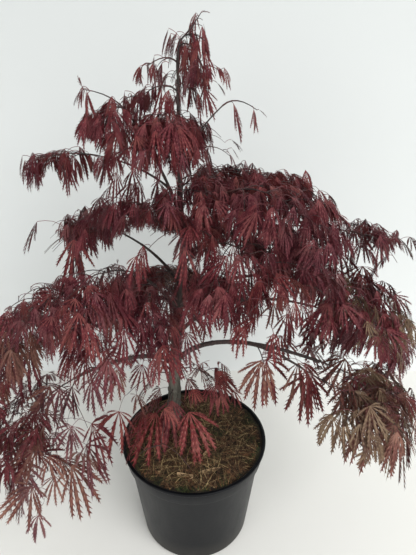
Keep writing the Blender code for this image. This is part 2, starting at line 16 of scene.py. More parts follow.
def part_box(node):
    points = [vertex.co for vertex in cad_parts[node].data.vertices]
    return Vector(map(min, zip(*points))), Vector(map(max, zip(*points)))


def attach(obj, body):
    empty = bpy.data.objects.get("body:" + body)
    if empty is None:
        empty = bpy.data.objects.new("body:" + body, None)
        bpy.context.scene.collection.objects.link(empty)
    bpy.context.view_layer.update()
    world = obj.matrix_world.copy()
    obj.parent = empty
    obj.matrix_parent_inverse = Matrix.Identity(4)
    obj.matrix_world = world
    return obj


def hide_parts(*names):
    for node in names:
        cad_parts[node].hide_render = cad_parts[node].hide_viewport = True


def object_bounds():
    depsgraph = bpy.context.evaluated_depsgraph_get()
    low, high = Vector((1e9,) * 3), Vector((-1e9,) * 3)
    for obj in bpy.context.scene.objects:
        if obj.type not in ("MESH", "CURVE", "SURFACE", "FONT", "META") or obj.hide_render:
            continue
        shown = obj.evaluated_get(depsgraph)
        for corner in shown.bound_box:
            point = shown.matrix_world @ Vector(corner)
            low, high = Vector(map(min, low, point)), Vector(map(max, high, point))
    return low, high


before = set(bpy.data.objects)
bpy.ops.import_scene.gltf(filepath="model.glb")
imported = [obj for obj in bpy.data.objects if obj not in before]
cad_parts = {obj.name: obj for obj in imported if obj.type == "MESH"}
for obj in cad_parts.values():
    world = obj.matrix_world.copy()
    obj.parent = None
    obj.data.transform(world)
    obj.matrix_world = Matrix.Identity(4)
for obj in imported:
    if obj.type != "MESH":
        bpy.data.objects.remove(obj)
cad_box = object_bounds()

# ---- the pot ------------------------------------------------------------------------------
# A ten-litre nursery container, thermoformed or injection moulded in black polypropylene: a thin
# wall with draft, a collar that stiffens the top, a rolled lip, and a rounded foot with drain
# notches. It is one moulding, so its only marks are faint ripples, scuffs and potting dust.

pot_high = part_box("pot")[1]
POT_HEIGHT = pot_high.z
POT_RIM_RADIUS = pot_high.x
POT_BASE_RADIUS = 0.1085
POT_WALL = 0.0024
POT_FLOOR = 0.004
POT_LIP_HEIGHT = 0.0055
POT_LIP_WIDTH = 0.0035
POT_LIP_ROUND = 0.0014
POT_COLLAR_HEIGHT = 0.031
POT_COLLAR_TAPER = 0.0025
POT_COLLAR_STEP = 0.0062
POT_COLLAR_EASE = 0.0010  # how far the step's corners are rounded off
POT_STEP_EASES = (1.2, 1.4)  # the same at its upper and lower corner, as shares of it
POT_CORNER = 0.009
POT_TURN_STEPS = 128
POT_LIP_STEPS = 4
POT_CORNER_STEPS = 8
POT_SHARP_ANGLE = 40
DRAIN_HOLES = 6
DRAIN_RADIUS = 0.007
DRAIN_CIRCLE = 0.076
FOOT_NOTCHES = 4
FOOT_NOTCH_BEARING = -113
FOOT_NOTCH_RADIUS = 0.0048
FOOT_NOTCH_STRETCH = 2.0  # how much wider than high a notch is
HOLE_SIDES = 24
WELD = 1e-6  # points closer than this are one
SCUFF_SIZE = 0.0167
RIPPLE_SIZE = 0.00625


def linear(code):
    """An sRGB hex colour as linear red, green, blue and alpha."""
    values = [int(code[i : i + 2], 16) / 255 for i in (1, 3, 5)]
    return (*[v / 12.92 if v <= 0.04045 else ((v + 0.055) / 1.055) ** 2.4 for v in values], 1)


def wire(node, links):
    """Link sockets or the first outputs of nodes to the node's inputs."""
    for name, source in links.items():
        socket = source.outputs[0] if hasattr(source, "outputs") else source
        node.id_data.links.new(socket, node.inputs[name])


def add_node(tree, kind, settings=(), links=(), stops=()):
    """A shader node with its properties or input values, its links and its ramp's stops set."""
    made = tree.nodes.new("ShaderNode" + kind)
    for name, value in dict(settings).items():
        if isinstance(name, str) and hasattr(made, name):
            setattr(made, name, value)
        else:
            made.inputs[name].default_value = value
    for number, (position, colour) in enumerate(stops):
        made.color_ramp.elements[number].position = position
        made.color_ramp.elements[number].color = linear(colour)
    wire(made, dict(links))
    return made


def new_material(name, settings):
    """A material with one Principled shader, and its node tree and shader."""
    material = bpy.data.materials.new(name)
    material.use_nodes = True
    tree = material.node_tree
    shader = tree.nodes["Principled BSDF"]
    for socket, value in settings.items():
        shader.inputs[socket].default_value = value
    return material, tree, shader


def add_piece(name, mesh, material):
    """The mesh as an object at the origin that rides with the plant."""
    piece = bpy.data.objects.new(name, mesh)
    bpy.context.scene.collection.objects.link(piece)
    mesh.materials.clear()
    mesh.materials.append(material)
    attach(piece, "root")
    return piece


def bmesh_to_mesh(bm, name, smooth=True):
    """The bmesh as a mesh with its faces turned outwards."""
    bmesh.ops.recalc_face_normals(bm, faces=bm.faces)
    mesh = bpy.data.meshes.new(name)
    bm.to_mesh(mesh)
    bm.free()
    if smooth:
        mesh.shade_smooth()
    return mesh


def turned(profile, steps):
    """A bmesh turned about the pot's axis from a profile of radius and height."""
    bm = bmesh.new()
    points = [bm.verts.new((radius, 0, height)) for radius, height in profile]
    edges = [bm.edges.new(pair) for pair in zip(points, points[1:])]
    turn = {"axis": (0, 0, 1), "cent": (0, 0, 0), "angle": math.tau, "steps": steps}
    bmesh.ops.spin(bm, geom=points + edges, use_merge=True, **turn)
    bmesh.ops.remove_doubles(bm, verts=bm.verts, dist=WELD)
    return bm


def arc(centre, radius, start, end, steps):
    """Points of a profile's rounded corner, from one angle to another, in degrees."""
    turns = [math.radians(start + (end - start) * i / steps) for i in range(steps + 1)]
    across, up = centre
    return [(across + radius * math.cos(turn), up + radius * math.sin(turn)) for turn in turns]


def pot_sides():
    """The wall's outer side under the lip: the collar, its step and the long draft."""
    ease = POT_COLLAR_EASE
    upper, lower = (share * ease for share in POT_STEP_EASES)
    collar_top = POT_RIM_RADIUS - POT_LIP_WIDTH
    collar_foot = collar_top - POT_COLLAR_TAPER
    step = POT_HEIGHT - POT_COLLAR_HEIGHT
    return [
        (collar_top, POT_HEIGHT - POT_LIP_HEIGHT),
        (collar_foot, step + ease),
        (collar_foot - upper, step - ease),
        (collar_foot - POT_COLLAR_STEP + ease, step - POT_COLLAR_STEP + ease),
        (collar_foot - POT_COLLAR_STEP, step - POT_COLLAR_STEP - lower),
        (POT_BASE_RADIUS, POT_CORNER),
    ]


def pot_profile():
    """Half the pot's cut face, from the floor's middle up, over the lip and back underneath."""
    outside = pot_sides()
    inside = [(radius - POT_WALL, height) for radius, height in reversed(outside)]
    lip_middle = POT_HEIGHT - POT_LIP_ROUND
    lip_outer = POT_RIM_RADIUS - POT_LIP_ROUND
    lip_inner = outside[0][0] - POT_WALL + POT_LIP_ROUND
    lip_foot = POT_HEIGHT - POT_LIP_HEIGHT + POT_LIP_ROUND
    return [
        (0, POT_FLOOR),
        (inside[0][0] - POT_FLOOR, POT_FLOOR),
        *inside,
        *arc((lip_inner, lip_middle), POT_LIP_ROUND, 180, 90, POT_LIP_STEPS),
        *arc((lip_outer, lip_middle), POT_LIP_ROUND, 90, 0, POT_LIP_STEPS),
        *arc((lip_outer, lip_foot), POT_LIP_ROUND, 0, -90, POT_LIP_STEPS),
        *outside[:-1],
        *arc((POT_BASE_RADIUS - POT_CORNER, POT_CORNER), POT_CORNER, 0, -90, POT_CORNER_STEPS),
        (0, 0),
    ]


def add_plug(bm, radius, depth, matrix):
    """A round plug to cut a hole with."""
    size = {"segments": HOLE_SIDES, "radius1": radius, "radius2": radius, "depth": depth}
    bmesh.ops.create_cone(bm, cap_ends=True, matrix=matrix, **size)


def pot_cutters():
    """The drain holes through the floor and the notches in the foot, as one bmesh."""
    bm = bmesh.new()
    for number in range(DRAIN_HOLES):
        turn = math.tau * number / DRAIN_HOLES
        place = Vector((math.cos(turn), math.sin(turn), 0)) * DRAIN_CIRCLE
        add_plug(bm, DRAIN_RADIUS, 4 * POT_FLOOR, Matrix.Translation(place))
    notch = (
        Matrix.Translation((POT_BASE_RADIUS, 0, 0))
        @ Matrix.Diagonal((1, FOOT_NOTCH_STRETCH, 1, 1))
        @ Matrix.Rotation(math.pi / 2, 4, "Y")
    )
    for number in range(FOOT_NOTCHES):
        bearing = math.radians(FOOT_NOTCH_BEARING) + math.tau * number / FOOT_NOTCHES
        add_plug(bm, FOOT_NOTCH_RADIUS, 3 * POT_CORNER, Matrix.Rotation(bearing, 4, "Z") @ notch)
    return bm


def cut(bm, cutters, name):
    """The body's mesh with the cutters taken out of it."""
    body = bpy.data.objects.new(name, bmesh_to_mesh(bm, name))
    tool = bpy.data.objects.new(name + "_cutters", bmesh_to_mesh(cutters, name + "_cutters"))
    for helper in (body, tool):
        bpy.context.scene.collection.objects.link(helper)
    drill = body.modifiers.new("Cut", "BOOLEAN")
    drill.operation = "DIFFERENCE"
    drill.object = tool
    graph = bpy.context.evaluated_depsgraph_get()
    mesh = bpy.data.meshes.new_from_object(body.evaluated_get(graph))
    for helper in (body, tool):
        bpy.data.objects.remove(helper)
    return mesh


def polypropylene():
    """Black moulded polypropylene: semi-matt, with a soft ripple and a film of dust low down."""
    gloss = {"IOR": 1.49, "Specular IOR Level": 0.14}
    material, tree, shader = new_material("black_moulded_polypropylene", gloss)
    place = add_node(tree, "TexCoord").outputs["Object"]
    upright = add_node(tree, "Mapping", {"Scale": (1, 1, 0.25)}, {"Vector": place})
    marks = {"Scale": 1 / SCUFF_SIZE, "Detail": 6, "Roughness": 0.65}
    scuffs = add_node(tree, "TexNoise", marks, {"Vector": upright})
    ripple = add_node(tree, "TexNoise", {"Scale": 1 / RIPPLE_SIZE, "Detail": 2}, {"Vector": place})
    height = add_node(tree, "SeparateXYZ", links={"Vector": place}).outputs["Z"]
    film = {"From Min": 0.05, "From Max": 0.0, "To Min": 0.0, "To Max": 0.30}
    dust = add_node(tree, "MapRange", film, {"Value": height})
    dusty = add_node(tree, "Math", {"operation": "MULTIPLY"}, {0: dust, 1: scuffs})
    black = add_node(
        tree, "ValToRGB", links={"Fac": scuffs}, stops=((0.35, "#050609"), (0.75, "#0b0d11"))
    )
    tone = add_node(
        tree, "MixRGB", {"Color2": linear("#6a655c")}, {"Fac": dusty, "Color1": black}
    )
    rough = add_node(tree, "MapRange", {"To Min": 0.28, "To Max": 0.50}, {"Value": scuffs})
    relief = add_node(tree, "Bump", {"Strength": 0.25, "Distance": 0.0004}, {"Height": ripple})
    wire(shader, {"Base Color": tone, "Roughness": rough, "Normal": relief})
    return material


pot_mesh = cut(turned(pot_profile(), POT_TURN_STEPS), pot_cutters(), "nursery_pot")
pot_mesh.shade_smooth()
pot_mesh.set_sharp_from_angle(angle=math.radians(POT_SHARP_ANGLE))
nursery_pot = add_piece("nursery_pot", pot_mesh, polypropylene())
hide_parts("pot")

# ---- the compost --------------------------------------------------------------------------
# Peat-based potting compost, settled a little below the rim and mounded to the trunk. Liverwort
# and moss have greened it, and it is littered with fibres, straw, bark chips and a few dry leaves.

COMPOST_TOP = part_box("compost")[1].z
COMPOST_BANK = 0.003  # how far it is banked up along the wall
COMPOST_BANK_FROM = 0.8  # the share of the radius where the bank starts
COMPOST_FIT = 0.0004  # how closely it meets the pot
COMPOST_RINGS = 56
COMPOST_TURN_STEPS = 144
COMPOST_RISE = 0.0035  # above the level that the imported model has
COMPOST_LUMPS = ((0.027, 0.0060), (0.009, 0.0036), (0.0035, 0.0014))  # size and height
LUMP_SLICE = 0.3  # the height in the noise that the lumps are read from
COMPOST_SKIN = 1e-4  # a point this little below the level still belongs to the top
TRUNK_FOOT = Vector((-0.0440, 0.0360, 0))
MOUND_RADIUS = 0.045
MOUND_HEIGHT = 0.004
CRUMB_SIZE = 0.00238
MOSS_SPREAD = 0.0263


def compost_radius(height):
    """The radius of the inside of the pot at a height near the rim."""
    sides = sorted((z, radius) for radius, z in pot_sides())
    return float(np.interp(height, *zip(*sides))) - POT_WALL


def compost_height(x, y):
    """The ground's height at a place: level, banked up at the wall, with lumps and a mound."""
    reach = math.hypot(x, y) / compost_radius(COMPOST_TOP)
    bank = max(0.0, (reach - COMPOST_BANK_FROM) / (1 - COMPOST_BANK_FROM))
    height = COMPOST_TOP + COMPOST_RISE + COMPOST_BANK * bank**2
    for size, rise in COMPOST_LUMPS:
        height += rise * noise.noise(Vector((x, y, LUMP_SLICE)) / size)
    away = (Vector((x, y, 0)) - TRUNK_FOOT).length / MOUND_RADIUS
    return height + MOUND_HEIGHT * math.exp(-away * away)


def compost_mesh():
    """The soil body inside the pot, with its lumpy top."""
    edge = compost_radius(COMPOST_TOP) + COMPOST_FIT
    top = [(edge * i / COMPOST_RINGS, COMPOST_TOP) for i in range(COMPOST_RINGS + 1)]
    sides = [(radius - POT_WALL - COMPOST_FIT, height) for radius, height in pot_sides()[1:-1]]
    foot = (POT_BASE_RADIUS - 2 * POT_WALL, POT_FLOOR + COMPOST_FIT)
    bm = turned([*top, *sides, foot, (0, foot[1])], COMPOST_TURN_STEPS)
    for vertex in bm.verts:
        if vertex.co.z > COMPOST_TOP - COMPOST_SKIN:
            vertex.co.z = compost_height(vertex.co.x, vertex.co.y)
    return bmesh_to_mesh(bm, "compost_ground")


def peat():
    """Damp peat with green moss on it: dull and crumbly, with painted shade darkening its hollows.
    """
    material, tree, shader = new_material("mossy_peat", {"Roughness": 0.95})
    place = add_node(tree, "TexCoord").outputs["Object"]
    grain = {"Scale": 1 / CRUMB_SIZE, "Detail": 8, "Roughness": 0.7}
    crumbs = add_node(tree, "TexNoise", grain, {"Vector": place})
    patches = add_node(tree, "TexNoise", {"Scale": 1 / MOSS_SPREAD, "Detail": 4}, {"Vector": place})
    # Painted shade: the noise that raises the crumbs also picks their tone, so the hollows come out
    # dark.
    brown = add_node(
        tree, "ValToRGB", links={"Fac": crumbs}, stops=((0.32, "#0c0805"), (0.72, "#38281a"))
    )
    green = add_node(
        tree, "ValToRGB", links={"Fac": crumbs}, stops=((0.32, "#12140a"), (0.75, "#3d3d22"))
    )
    moss = add_node(tree, "MapRange", {"From Min": 0.46, "From Max": 0.60}, {"Value": patches})
    tone = add_node(tree, "MixRGB", links={"Fac": moss, "Color1": brown, "Color2": green})
    relief = add_node(tree, "Bump", {"Strength": 0.9, "Distance": 0.0015}, {"Height": crumbs})
    wire(shader, {"Base Color": tone, "Normal": relief})
    return material


compost = add_piece("compost_ground", compost_mesh(), peat())
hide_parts("compost")

# Litter: thin fibres and straws that lie every way, and short moss blades that stand in tufts.

Litter = namedtuple("Litter", "count length width lift dark light roughness")
LITTER = {
    "peat_fibres": Litter(6500, (0.007, 0.030), 0.0012, 0.40, "#120c07", "#5e462f", 0.9),
    "dry_straw": Litter(800, (0.010, 0.046), 0.0014, 0.32, "#66502f", "#b59c70", 0.75),
    "moss_blades": Litter(6500, (0.004, 0.011), 0.0009, 0.9, "#12170a", "#3f4823", 0.9),
    "rusty_needles": Litter(3000, (0.008, 0.026), 0.0011, 0.42, "#33200f", "#80573a", 0.85),
}
LITTER_SEED = 5
LITTER_LIFTS = (0.2, 1.0)
MOSS_PATCH = 0.030  # size of a patch of moss
MOSS_SHIFT = Vector((7, 3, 1))  # to a part of the noise that the lumps don't use
MOSS_CLOSES = 0.25  # where the patches' noise is above this, moss hides the other litter
LITTER_SINK = 0.0004
LITTER_MARGIN = 0.003  # off the wall
BLADE_STEPS = 3
BLADE_CURL = 0.5
BLADE_SAG = 1.5  # above 1, its tip comes down again
BLADE_TAPER = 0.8
FIBRE_PATCH = 0.006


def mottled(name, dark, light, patch, roughness):
    """A dull natural finish that wanders between two tones over patches of a real size."""
    material, tree, shader = new_material(name, {"Roughness": roughness, "IOR": 1.45})
    place = add_node(tree, "TexCoord").outputs["Object"]
    patches = add_node(tree, "TexNoise", {"Scale": 1 / patch, "Detail": 2}, {"Vector": place})
    tone = add_node(tree, "ValToRGB", links={"Fac": patches}, stops=((0.35, dark), (0.65, light)))
    wire(shader, {"Base Color": tone})
    return material


def blades_mesh(name, feet, ways, lifts, lengths, width, rng):
    """Thin tapering blades: each lies off its foot one way, and rises and bends over."""
    steps = np.linspace(0, 1, BLADE_STEPS + 1)
    flat = np.zeros_like(ways)
    level = np.stack([np.cos(ways), np.sin(ways), flat], axis=1)[:, None]
    side = np.stack([-np.sin(ways), np.cos(ways), flat], axis=1)[:, None]
    curl = rng.uniform(-BLADE_CURL, BLADE_CURL, len(feet))
    ahead = lengths[:, None] * steps
    aside = lengths[:, None] * curl[:, None] * steps**2
    spine = feet[:, None] + level * ahead[..., None] + side * aside[..., None]
    spine[..., 2] += (lengths * lifts)[:, None] * (2 * steps - BLADE_SAG * steps**2)
    half = side * (width / 2 * (1 - BLADE_TAPER * steps))[:, None]
    points = np.stack([spine - half, spine + half], axis=2)
    per = 2 * (BLADE_STEPS + 1)
    quads = np.array([(2 * i, 2 * i + 1, 2 * i + 3, 2 * i + 2) for i in range(BLADE_STEPS)])
    faces = quads[None] + per * np.arange(len(feet))[:, None, None]
    return array_mesh(name, points.reshape(-1, 3), faces.reshape(-1, 4))


def array_mesh(name, points, faces):
    """A mesh from an array of points and an array of faces of like size."""
    mesh = bpy.data.meshes.new(name)
    corners = faces.shape[1]
    mesh.vertices.add(len(points))
    mesh.vertices.foreach_set("co", points.astype(np.float32).ravel())
    mesh.loops.add(faces.size)
    mesh.loops.foreach_set("vertex_index", faces.astype(np.int32).ravel())
    mesh.polygons.add(len(faces))
    mesh.polygons.foreach_set("loop_start", np.arange(0, faces.size, corners, dtype=np.int32))
    mesh.update(calc_edges=True)
    return mesh


def litter_piece(name, litter, rng):
    """All the litter of one kind, strewn over the compost."""
    feet = []
    radius = compost_radius(COMPOST_TOP) - LITTER_MARGIN
    while len(feet) < litter.count:
        x, y = rng.uniform(-radius, radius, 2)
        patch = noise.noise(Vector((x, y, 0)) / MOSS_PATCH + MOSS_SHIFT)
        wanted = patch > 0 if name == "moss_blades" else patch < MOSS_CLOSES
        if math.hypot(x, y) < radius and wanted:
            feet.append((x, y, compost_height(x, y) - LITTER_SINK))
    feet = np.array(feet)
    ways = rng.uniform(0, math.tau, len(feet))
    lifts = rng.uniform(*LITTER_LIFTS, len(feet)) * litter.lift
    lengths = rng.uniform(*litter.length, len(feet))
    # A blade near the wall turns inwards, so that it stays in the pot.
    outward = np.arctan2(feet[:, 1], feet[:, 0])
    near = np.hypot(feet[:, 0], feet[:, 1]) + lengths > radius
    ways[near] = outward[near] + math.pi + rng.uniform(-1, 1, near.sum())
    mesh = blades_mesh(name, feet, ways, lifts, lengths, litter.width, rng)
    # Dry plant fibre: dull, and weathered from dark to pale every few millimetres.
    material = mottled(name, litter.dark, litter.light, FIBRE_PATCH, litter.roughness)
    return add_piece(name, mesh, material)


litter_rng = np.random.default_rng(LITTER_SEED)
for litter_name, litter_kind in LITTER.items():
    litter_piece(litter_name, litter_kind, litter_rng)

# Bark chips and crumbs half sunk in the compost, and dry leaves and strips curled on top of it.

CHIPS = 260
CHIP_SIZES = (0.003, 0.009)
CHIP_WIDTHS = (0.3, 0.6)
CHIP_THICKNESS = 0.22
CHIP_TILT = 0.5
CHIP_SPINS = 7  # a chip's spin on the spot, as a multiple of its bearing
CHIP_MARGIN = 0.010
CHIP_CRUMBLE = 0.0006
CHIP_GRAIN = 0.002
DRY_LEAF_CELLS = (10, 4)
DRY_LEAF_LIFT = 0.002
DRY_LEAF_CURLS = (0.35, 0.25)  # of its edges and its ends
DRY_LEAF_SLIMMEST = 0.04
DRY_LEAF_CRINKLE = 0.0008
DRY_LEAF_GRAIN = 0.003
DryLeaf = namedtuple("DryLeaf", "x y length width curl bearing")
DRY_LEAVES = (
    DryLeaf(-0.014, -0.098, 0.030, 0.012, 1.6, -12),
    DryLeaf(0.030, -0.086, 0.040, 0.009, 0.6, 16),
    DryLeaf(0.024, -0.052, 0.018, 0.013, 1.2, 60),
    DryLeaf(0.058, 0.000, 0.016, 0.006, 0.8, 95),
    DryLeaf(0.082, -0.034, 0.024, 0.005, 0.5, 78),
)


def chips_mesh(rng):
    """Rough blocks of bark, tilted and half sunk."""
    bm = bmesh.new()
    radius = compost_radius(COMPOST_TOP) - CHIP_MARGIN
    for _ in range(CHIPS):
        reach = radius * math.sqrt(rng.uniform(0, 1))
        turn = rng.uniform(0, math.tau)
        x, y = reach * math.cos(turn), reach * math.sin(turn)
        place = Matrix.Translation((x, y, compost_height(x, y)))
        tilt = Matrix.Rotation(rng.uniform(-CHIP_TILT, CHIP_TILT), 4, "X")
        spin = Matrix.Rotation(turn * CHIP_SPINS, 4, "Z")
        length = rng.uniform(*CHIP_SIZES)
        size = (length, length * rng.uniform(*CHIP_WIDTHS), length * CHIP_THICKNESS, 1)
        bmesh.ops.create_cube(bm, size=1, matrix=place @ tilt @ spin @ Matrix.Diagonal(size))
    for vertex in bm.verts:
        vertex.co += CHIP_CRUMBLE * noise.noise_vector(vertex.co / CHIP_GRAIN)
    return bmesh_to_mesh(bm, "bark_chips", smooth=False)


def dry_leaf(bm, leaf):
    """A pointed strip that curls up along its edges and at its ends."""
    lie = compost_height(leaf.x, leaf.y) + DRY_LEAF_LIFT
    place = Matrix.Translation((leaf.x, leaf.y, lie))
    turn = Matrix.Rotation(math.radians(leaf.bearing), 4, "Z")
    cells, rows = DRY_LEAF_CELLS
    edges, ends = DRY_LEAF_CURLS
    made = bmesh.ops.create_grid(bm, x_segments=cells, y_segments=rows, size=0.5)["verts"]
    for vertex in made:
        ahead, aside = vertex.co.x * 2, vertex.co.y * 2
        slim = math.sqrt(max(DRY_LEAF_SLIMMEST, 1 - ahead * ahead))
        rise = leaf.curl * leaf.width * (edges * aside * aside + ends * ahead * ahead)
        vertex.co.x = ahead * leaf.length / 2
        vertex.co.y = aside * slim * leaf.width / 2
        vertex.co.z = rise + DRY_LEAF_CRINKLE * noise.noise(vertex.co / DRY_LEAF_GRAIN)
    bmesh.ops.transform(bm, matrix=place @ turn, verts=made)


def dry_leaves_mesh():
    """All the dry leaves as one mesh."""
    bm = bmesh.new()
    for leaf in DRY_LEAVES:
        dry_leaf(bm, leaf)
    return bmesh_to_mesh(bm, "dry_leaves")


chip_rng = random.Random(LITTER_SEED)
chip_bark = mottled("bark_chip", "#3a2818", "#8a6a48", 0.004, 0.9)
add_piece("bark_chips", chips_mesh(chip_rng), chip_bark)
dead_leaf = mottled("dead_leaf", "#5f4a32", "#a08562", 0.005, 0.8)
add_piece("dry_leaves", dry_leaves_mesh(), dead_leaf)

# ---- the trunk and boughs -----------------------------------------------------------------
# Living wood of a young grafted maple. The leader is staked straight, then leans and kinks where
# side shoots were cut. Its bark is thin and smooth, grey-green low down with upright streaks and
# pale pores, and turns dark reddish brown on the boughs.

TrunkStation = namedtuple("TrunkStation", "height x y radius")
TRUNK = (
    TrunkStation(0.200, -0.0440, 0.0360, 0.0192),
    TrunkStation(0.212, -0.0440, 0.0360, 0.0155),
    TrunkStation(0.232, -0.0425, 0.0355, 0.0132),
    TrunkStation(0.300, -0.0390, 0.0340, 0.0117),
    TrunkStation(0.368, -0.0360, 0.0330, 0.0110),
    TrunkStation(0.440, -0.0280, 0.0310, 0.0083),
    TrunkStation(0.560, -0.0190, 0.0300, 0.0062),
    TrunkStation(0.615, -0.0100, 0.0300, 0.0056),
    TrunkStation(0.650, -0.0180, 0.0300, 0.0047),
    TrunkStation(0.760, -0.0170, 0.0300, 0.0035),
    TrunkStation(0.830, -0.0170, 0.0300, 0.0025),
    TrunkStation(0.883, -0.0160, 0.0300, 0.0018),
    TrunkStation(0.910, -0.0120, 0.0300, 0.0012),
)
Bough = namedtuple("Bough", "carrier at bearing sweep reach climb tip_height radius")
BOUGHS = {
    "bough_" + name: Bough(*values)
    for name, *values in (
        ("right_low", "trunk", 0.362, -32, 18, 0.265, 60, 0.412, 0.0052),
        ("right_low_fork", "bough_right_low", 0.58, -50, 10, 0.130, 26, 0.440, 0.0034),
        ("left_low", "trunk", 0.368, -150, -14, 0.185, 40, 0.366, 0.0048),
        ("left_low_far", "trunk", 0.408, 170, 10, 0.230, 42, 0.412, 0.0038),
        ("right_low_far", "trunk", 0.428, 22, -12, 0.260, 44, 0.462, 0.0038),
        ("left_dome", "trunk", 0.468, -112, -20, 0.080, 64, 0.574, 0.0036),
        ("left_far", "trunk", 0.490, -174, -6, 0.180, 34, 0.500, 0.0034),
        ("right_mid", "trunk", 0.496, -36, 20, 0.175, 46, 0.574, 0.0036),
        ("back_left", "trunk", 0.530, 138, 10, 0.120, 44, 0.600, 0.0032),
        ("front_mid", "trunk", 0.548, -74, 16, 0.085, 56, 0.630, 0.0032),
        ("back_right", "trunk", 0.566, 62, -16, 0.120, 56, 0.680, 0.0032),
        ("right_far", "trunk", 0.584, -10, 12, 0.190, 38, 0.636, 0.0032),
        ("right_fountain", "trunk", 0.630, -58, 18, 0.090, 56, 0.708, 0.0028),
        ("left_thin", "trunk", 0.620, -160, -12, 0.100, 42, 0.664, 0.0024),
        ("left_high", "trunk", 0.656, -160, 8, 0.074, 72, 0.812, 0.0027),
        ("left_twig", "bough_left_high", 0.28, 174, 6, 0.108, 40, 0.752, 0.0019),
        ("right_twig", "trunk", 0.728, 0, 6, 0.066, 70, 0.822, 0.0018),
    )
}
BOUGH_STEPS = 24
BOUGH_TIP_SHARE = 0.5
BEND_SHARE = 0.5
LIMB_STEP = 0.0025  # between the rings of a limb's mesh
TRUNK_SIDES = 40
BOUGH_SIDES = 16
COLLAR_SWELL = 0.35  # how much wider a bough is where it leaves its carrier
COLLAR_LENGTH = 0.012
NODE_SPACING = 0.034  # between the rings that old leaf pairs left on a shoot
NODE_SWELL = 0.14
NODE_LENGTH = 0.0028
KINK_EASES = 8  # times that a limb's kinks are smoothed
RIDGE_SIZE = (0.0042, 0.0042, 0.030)
CRACK_SIZE = (0.0016, 0.0016, 0.009)
CRACK_SHIFT = Vector((3, 1, 2))
PORE_SIZE = 0.0022
PORE_FROM = 0.45
BARK_RELIEF = (0.055, 0.035, 0.12)  # of ridges, cracks and pores, as shares of the limb's radius
STREAK_SIZE = 0.00238
BLOTCH_SIZE = 0.0167


def heading(bearing, climb):
    """The direction at a bearing from +X and an angle above level, both in degrees."""
    turn = math.radians(bearing)
    rise = math.radians(climb)
    level = math.cos(rise)
    return Vector((math.cos(turn) * level, math.sin(turn) * level, math.sin(rise)))


def arch(start, setting_out, end, steps):
    """Points of a limb that sets out one way and bends over evenly to its end."""
    middle = start + setting_out * BEND_SHARE * (end - start).length
    points = []
    for step in range(steps + 1):
        share = step / steps
        points.append(start.lerp(middle, share).lerp(middle.lerp(end, share), share))
    return points


def along(points, share):
    """The place at a share of the way through the points."""
    place = share * (len(points) - 1)
    step = min(int(place), len(points) - 2)
    return points[step].lerp(points[step + 1], place - step)


def trunk_at(height):
    """The trunk's middle and its radius at a height."""
    heights = [station.height for station in TRUNK]
    x, y, radius = (
        float(np.interp(height, heights, [getattr(station, part) for station in TRUNK]))
        for part in ("x", "y", "radius")
    )
    return Vector((x, y, height)), radius


def bough_points(name):
    """The middle line of a bough, from its carrier to its tip."""
    bough = BOUGHS[name]
    if bough.carrier == "trunk":
        start, _ = trunk_at(bough.at)
    else:
        start = along(bough_points(bough.carrier), bough.at)
    end = start + heading(bough.bearing + bough.sweep, 0) * bough.reach
    end.z = bough.tip_height
    return arch(start, heading(bough.bearing, bough.climb), end, BOUGH_STEPS)


def spread(points):
    """Points as plain tuples, for arrays."""
    return [tuple(point) for point in points]


def respaced(points, radii, spacing):
    """The route with a ring at every spacing, its kinks eased."""
    route = np.array(spread(points))
    gaps = np.linalg.norm(np.diff(route, axis=0), axis=1)
    length = np.concatenate([[0], np.cumsum(gaps)])
    places = np.linspace(0, length[-1], max(3, round(length[-1] / spacing) + 1))
    route = np.stack([np.interp(places, length, route[:, axis]) for axis in range(3)], axis=1)
    for _ in range(KINK_EASES):
        route[1:-1] = (route[:-2] + 2 * route[1:-1] + route[2:]) / 4
    return route, np.interp(places, length, radii), places


def limb_relief(place, radius):
    """How far the bark stands out at a place: upright ridges and furrows and fine pores."""
    ridges, cracks, pores = BARK_RELIEF
    ridges *= noise.noise(Vector(a / size for a, size in zip(place, RIDGE_SIZE)))
    cracks *= noise.noise(Vector(a / size for a, size in zip(place, CRACK_SIZE)) + CRACK_SHIFT)
    pores *= max(0.0, noise.noise(place / PORE_SIZE) - PORE_FROM)
    return radius * (ridges + cracks + pores)


def limb_mesh(name, points, radii, sides, swell):
    """A limb with the bark's relief, a swollen root and the rings of old leaf pairs."""
    route, thick, places = respaced(points, radii, LIMB_STEP)
    curve = bpy.data.curves.new(name, "CURVE")
    curve.dimensions = "3D"
    curve.use_fill_caps = True
    curve.bevel_depth = 1
    curve.bevel_resolution = sides // 2 - 2
    spline = curve.splines.new("POLY")
    spline.points.add(len(route) - 1)
    for knot, point, radius, place in zip(spline.points, route, thick, places):
        node = (place + NODE_SPACING / 2) % NODE_SPACING - NODE_SPACING / 2
        ring = 1 + NODE_SWELL * math.exp(-((node / NODE_LENGTH) ** 2))
        collar = 1 + swell * math.exp(-((place / COLLAR_LENGTH) ** 2))
        knot.co = (*point, 1)
        knot.radius = radius * ring * collar
    guide = bpy.data.objects.new(name, curve)
    bpy.context.scene.collection.objects.link(guide)
    graph = bpy.context.evaluated_depsgraph_get()
    mesh = bpy.data.meshes.new_from_object(guide.evaluated_get(graph))
    bpy.data.objects.remove(guide)
    bm = bmesh.new()
    bm.from_mesh(mesh)
    bpy.data.meshes.remove(mesh)
    bmesh.ops.remove_doubles(bm, verts=bm.verts, dist=WELD)
    bmesh.ops.recalc_face_normals(bm, faces=bm.faces)
    bm.normal_update()
    for vertex in bm.verts:
        vertex.co += vertex.normal * limb_relief(vertex.co, radii[0])
    return bm


def joined(bodies, name):
    """One mesh of several bmeshes."""
    bm = bmesh.new()
    for body in bodies:
        part = bpy.data.meshes.new("part")
        body.to_mesh(part)
        body.free()
        bm.from_mesh(part)
        bpy.data.meshes.remove(part)
    return bmesh_to_mesh(bm, name)


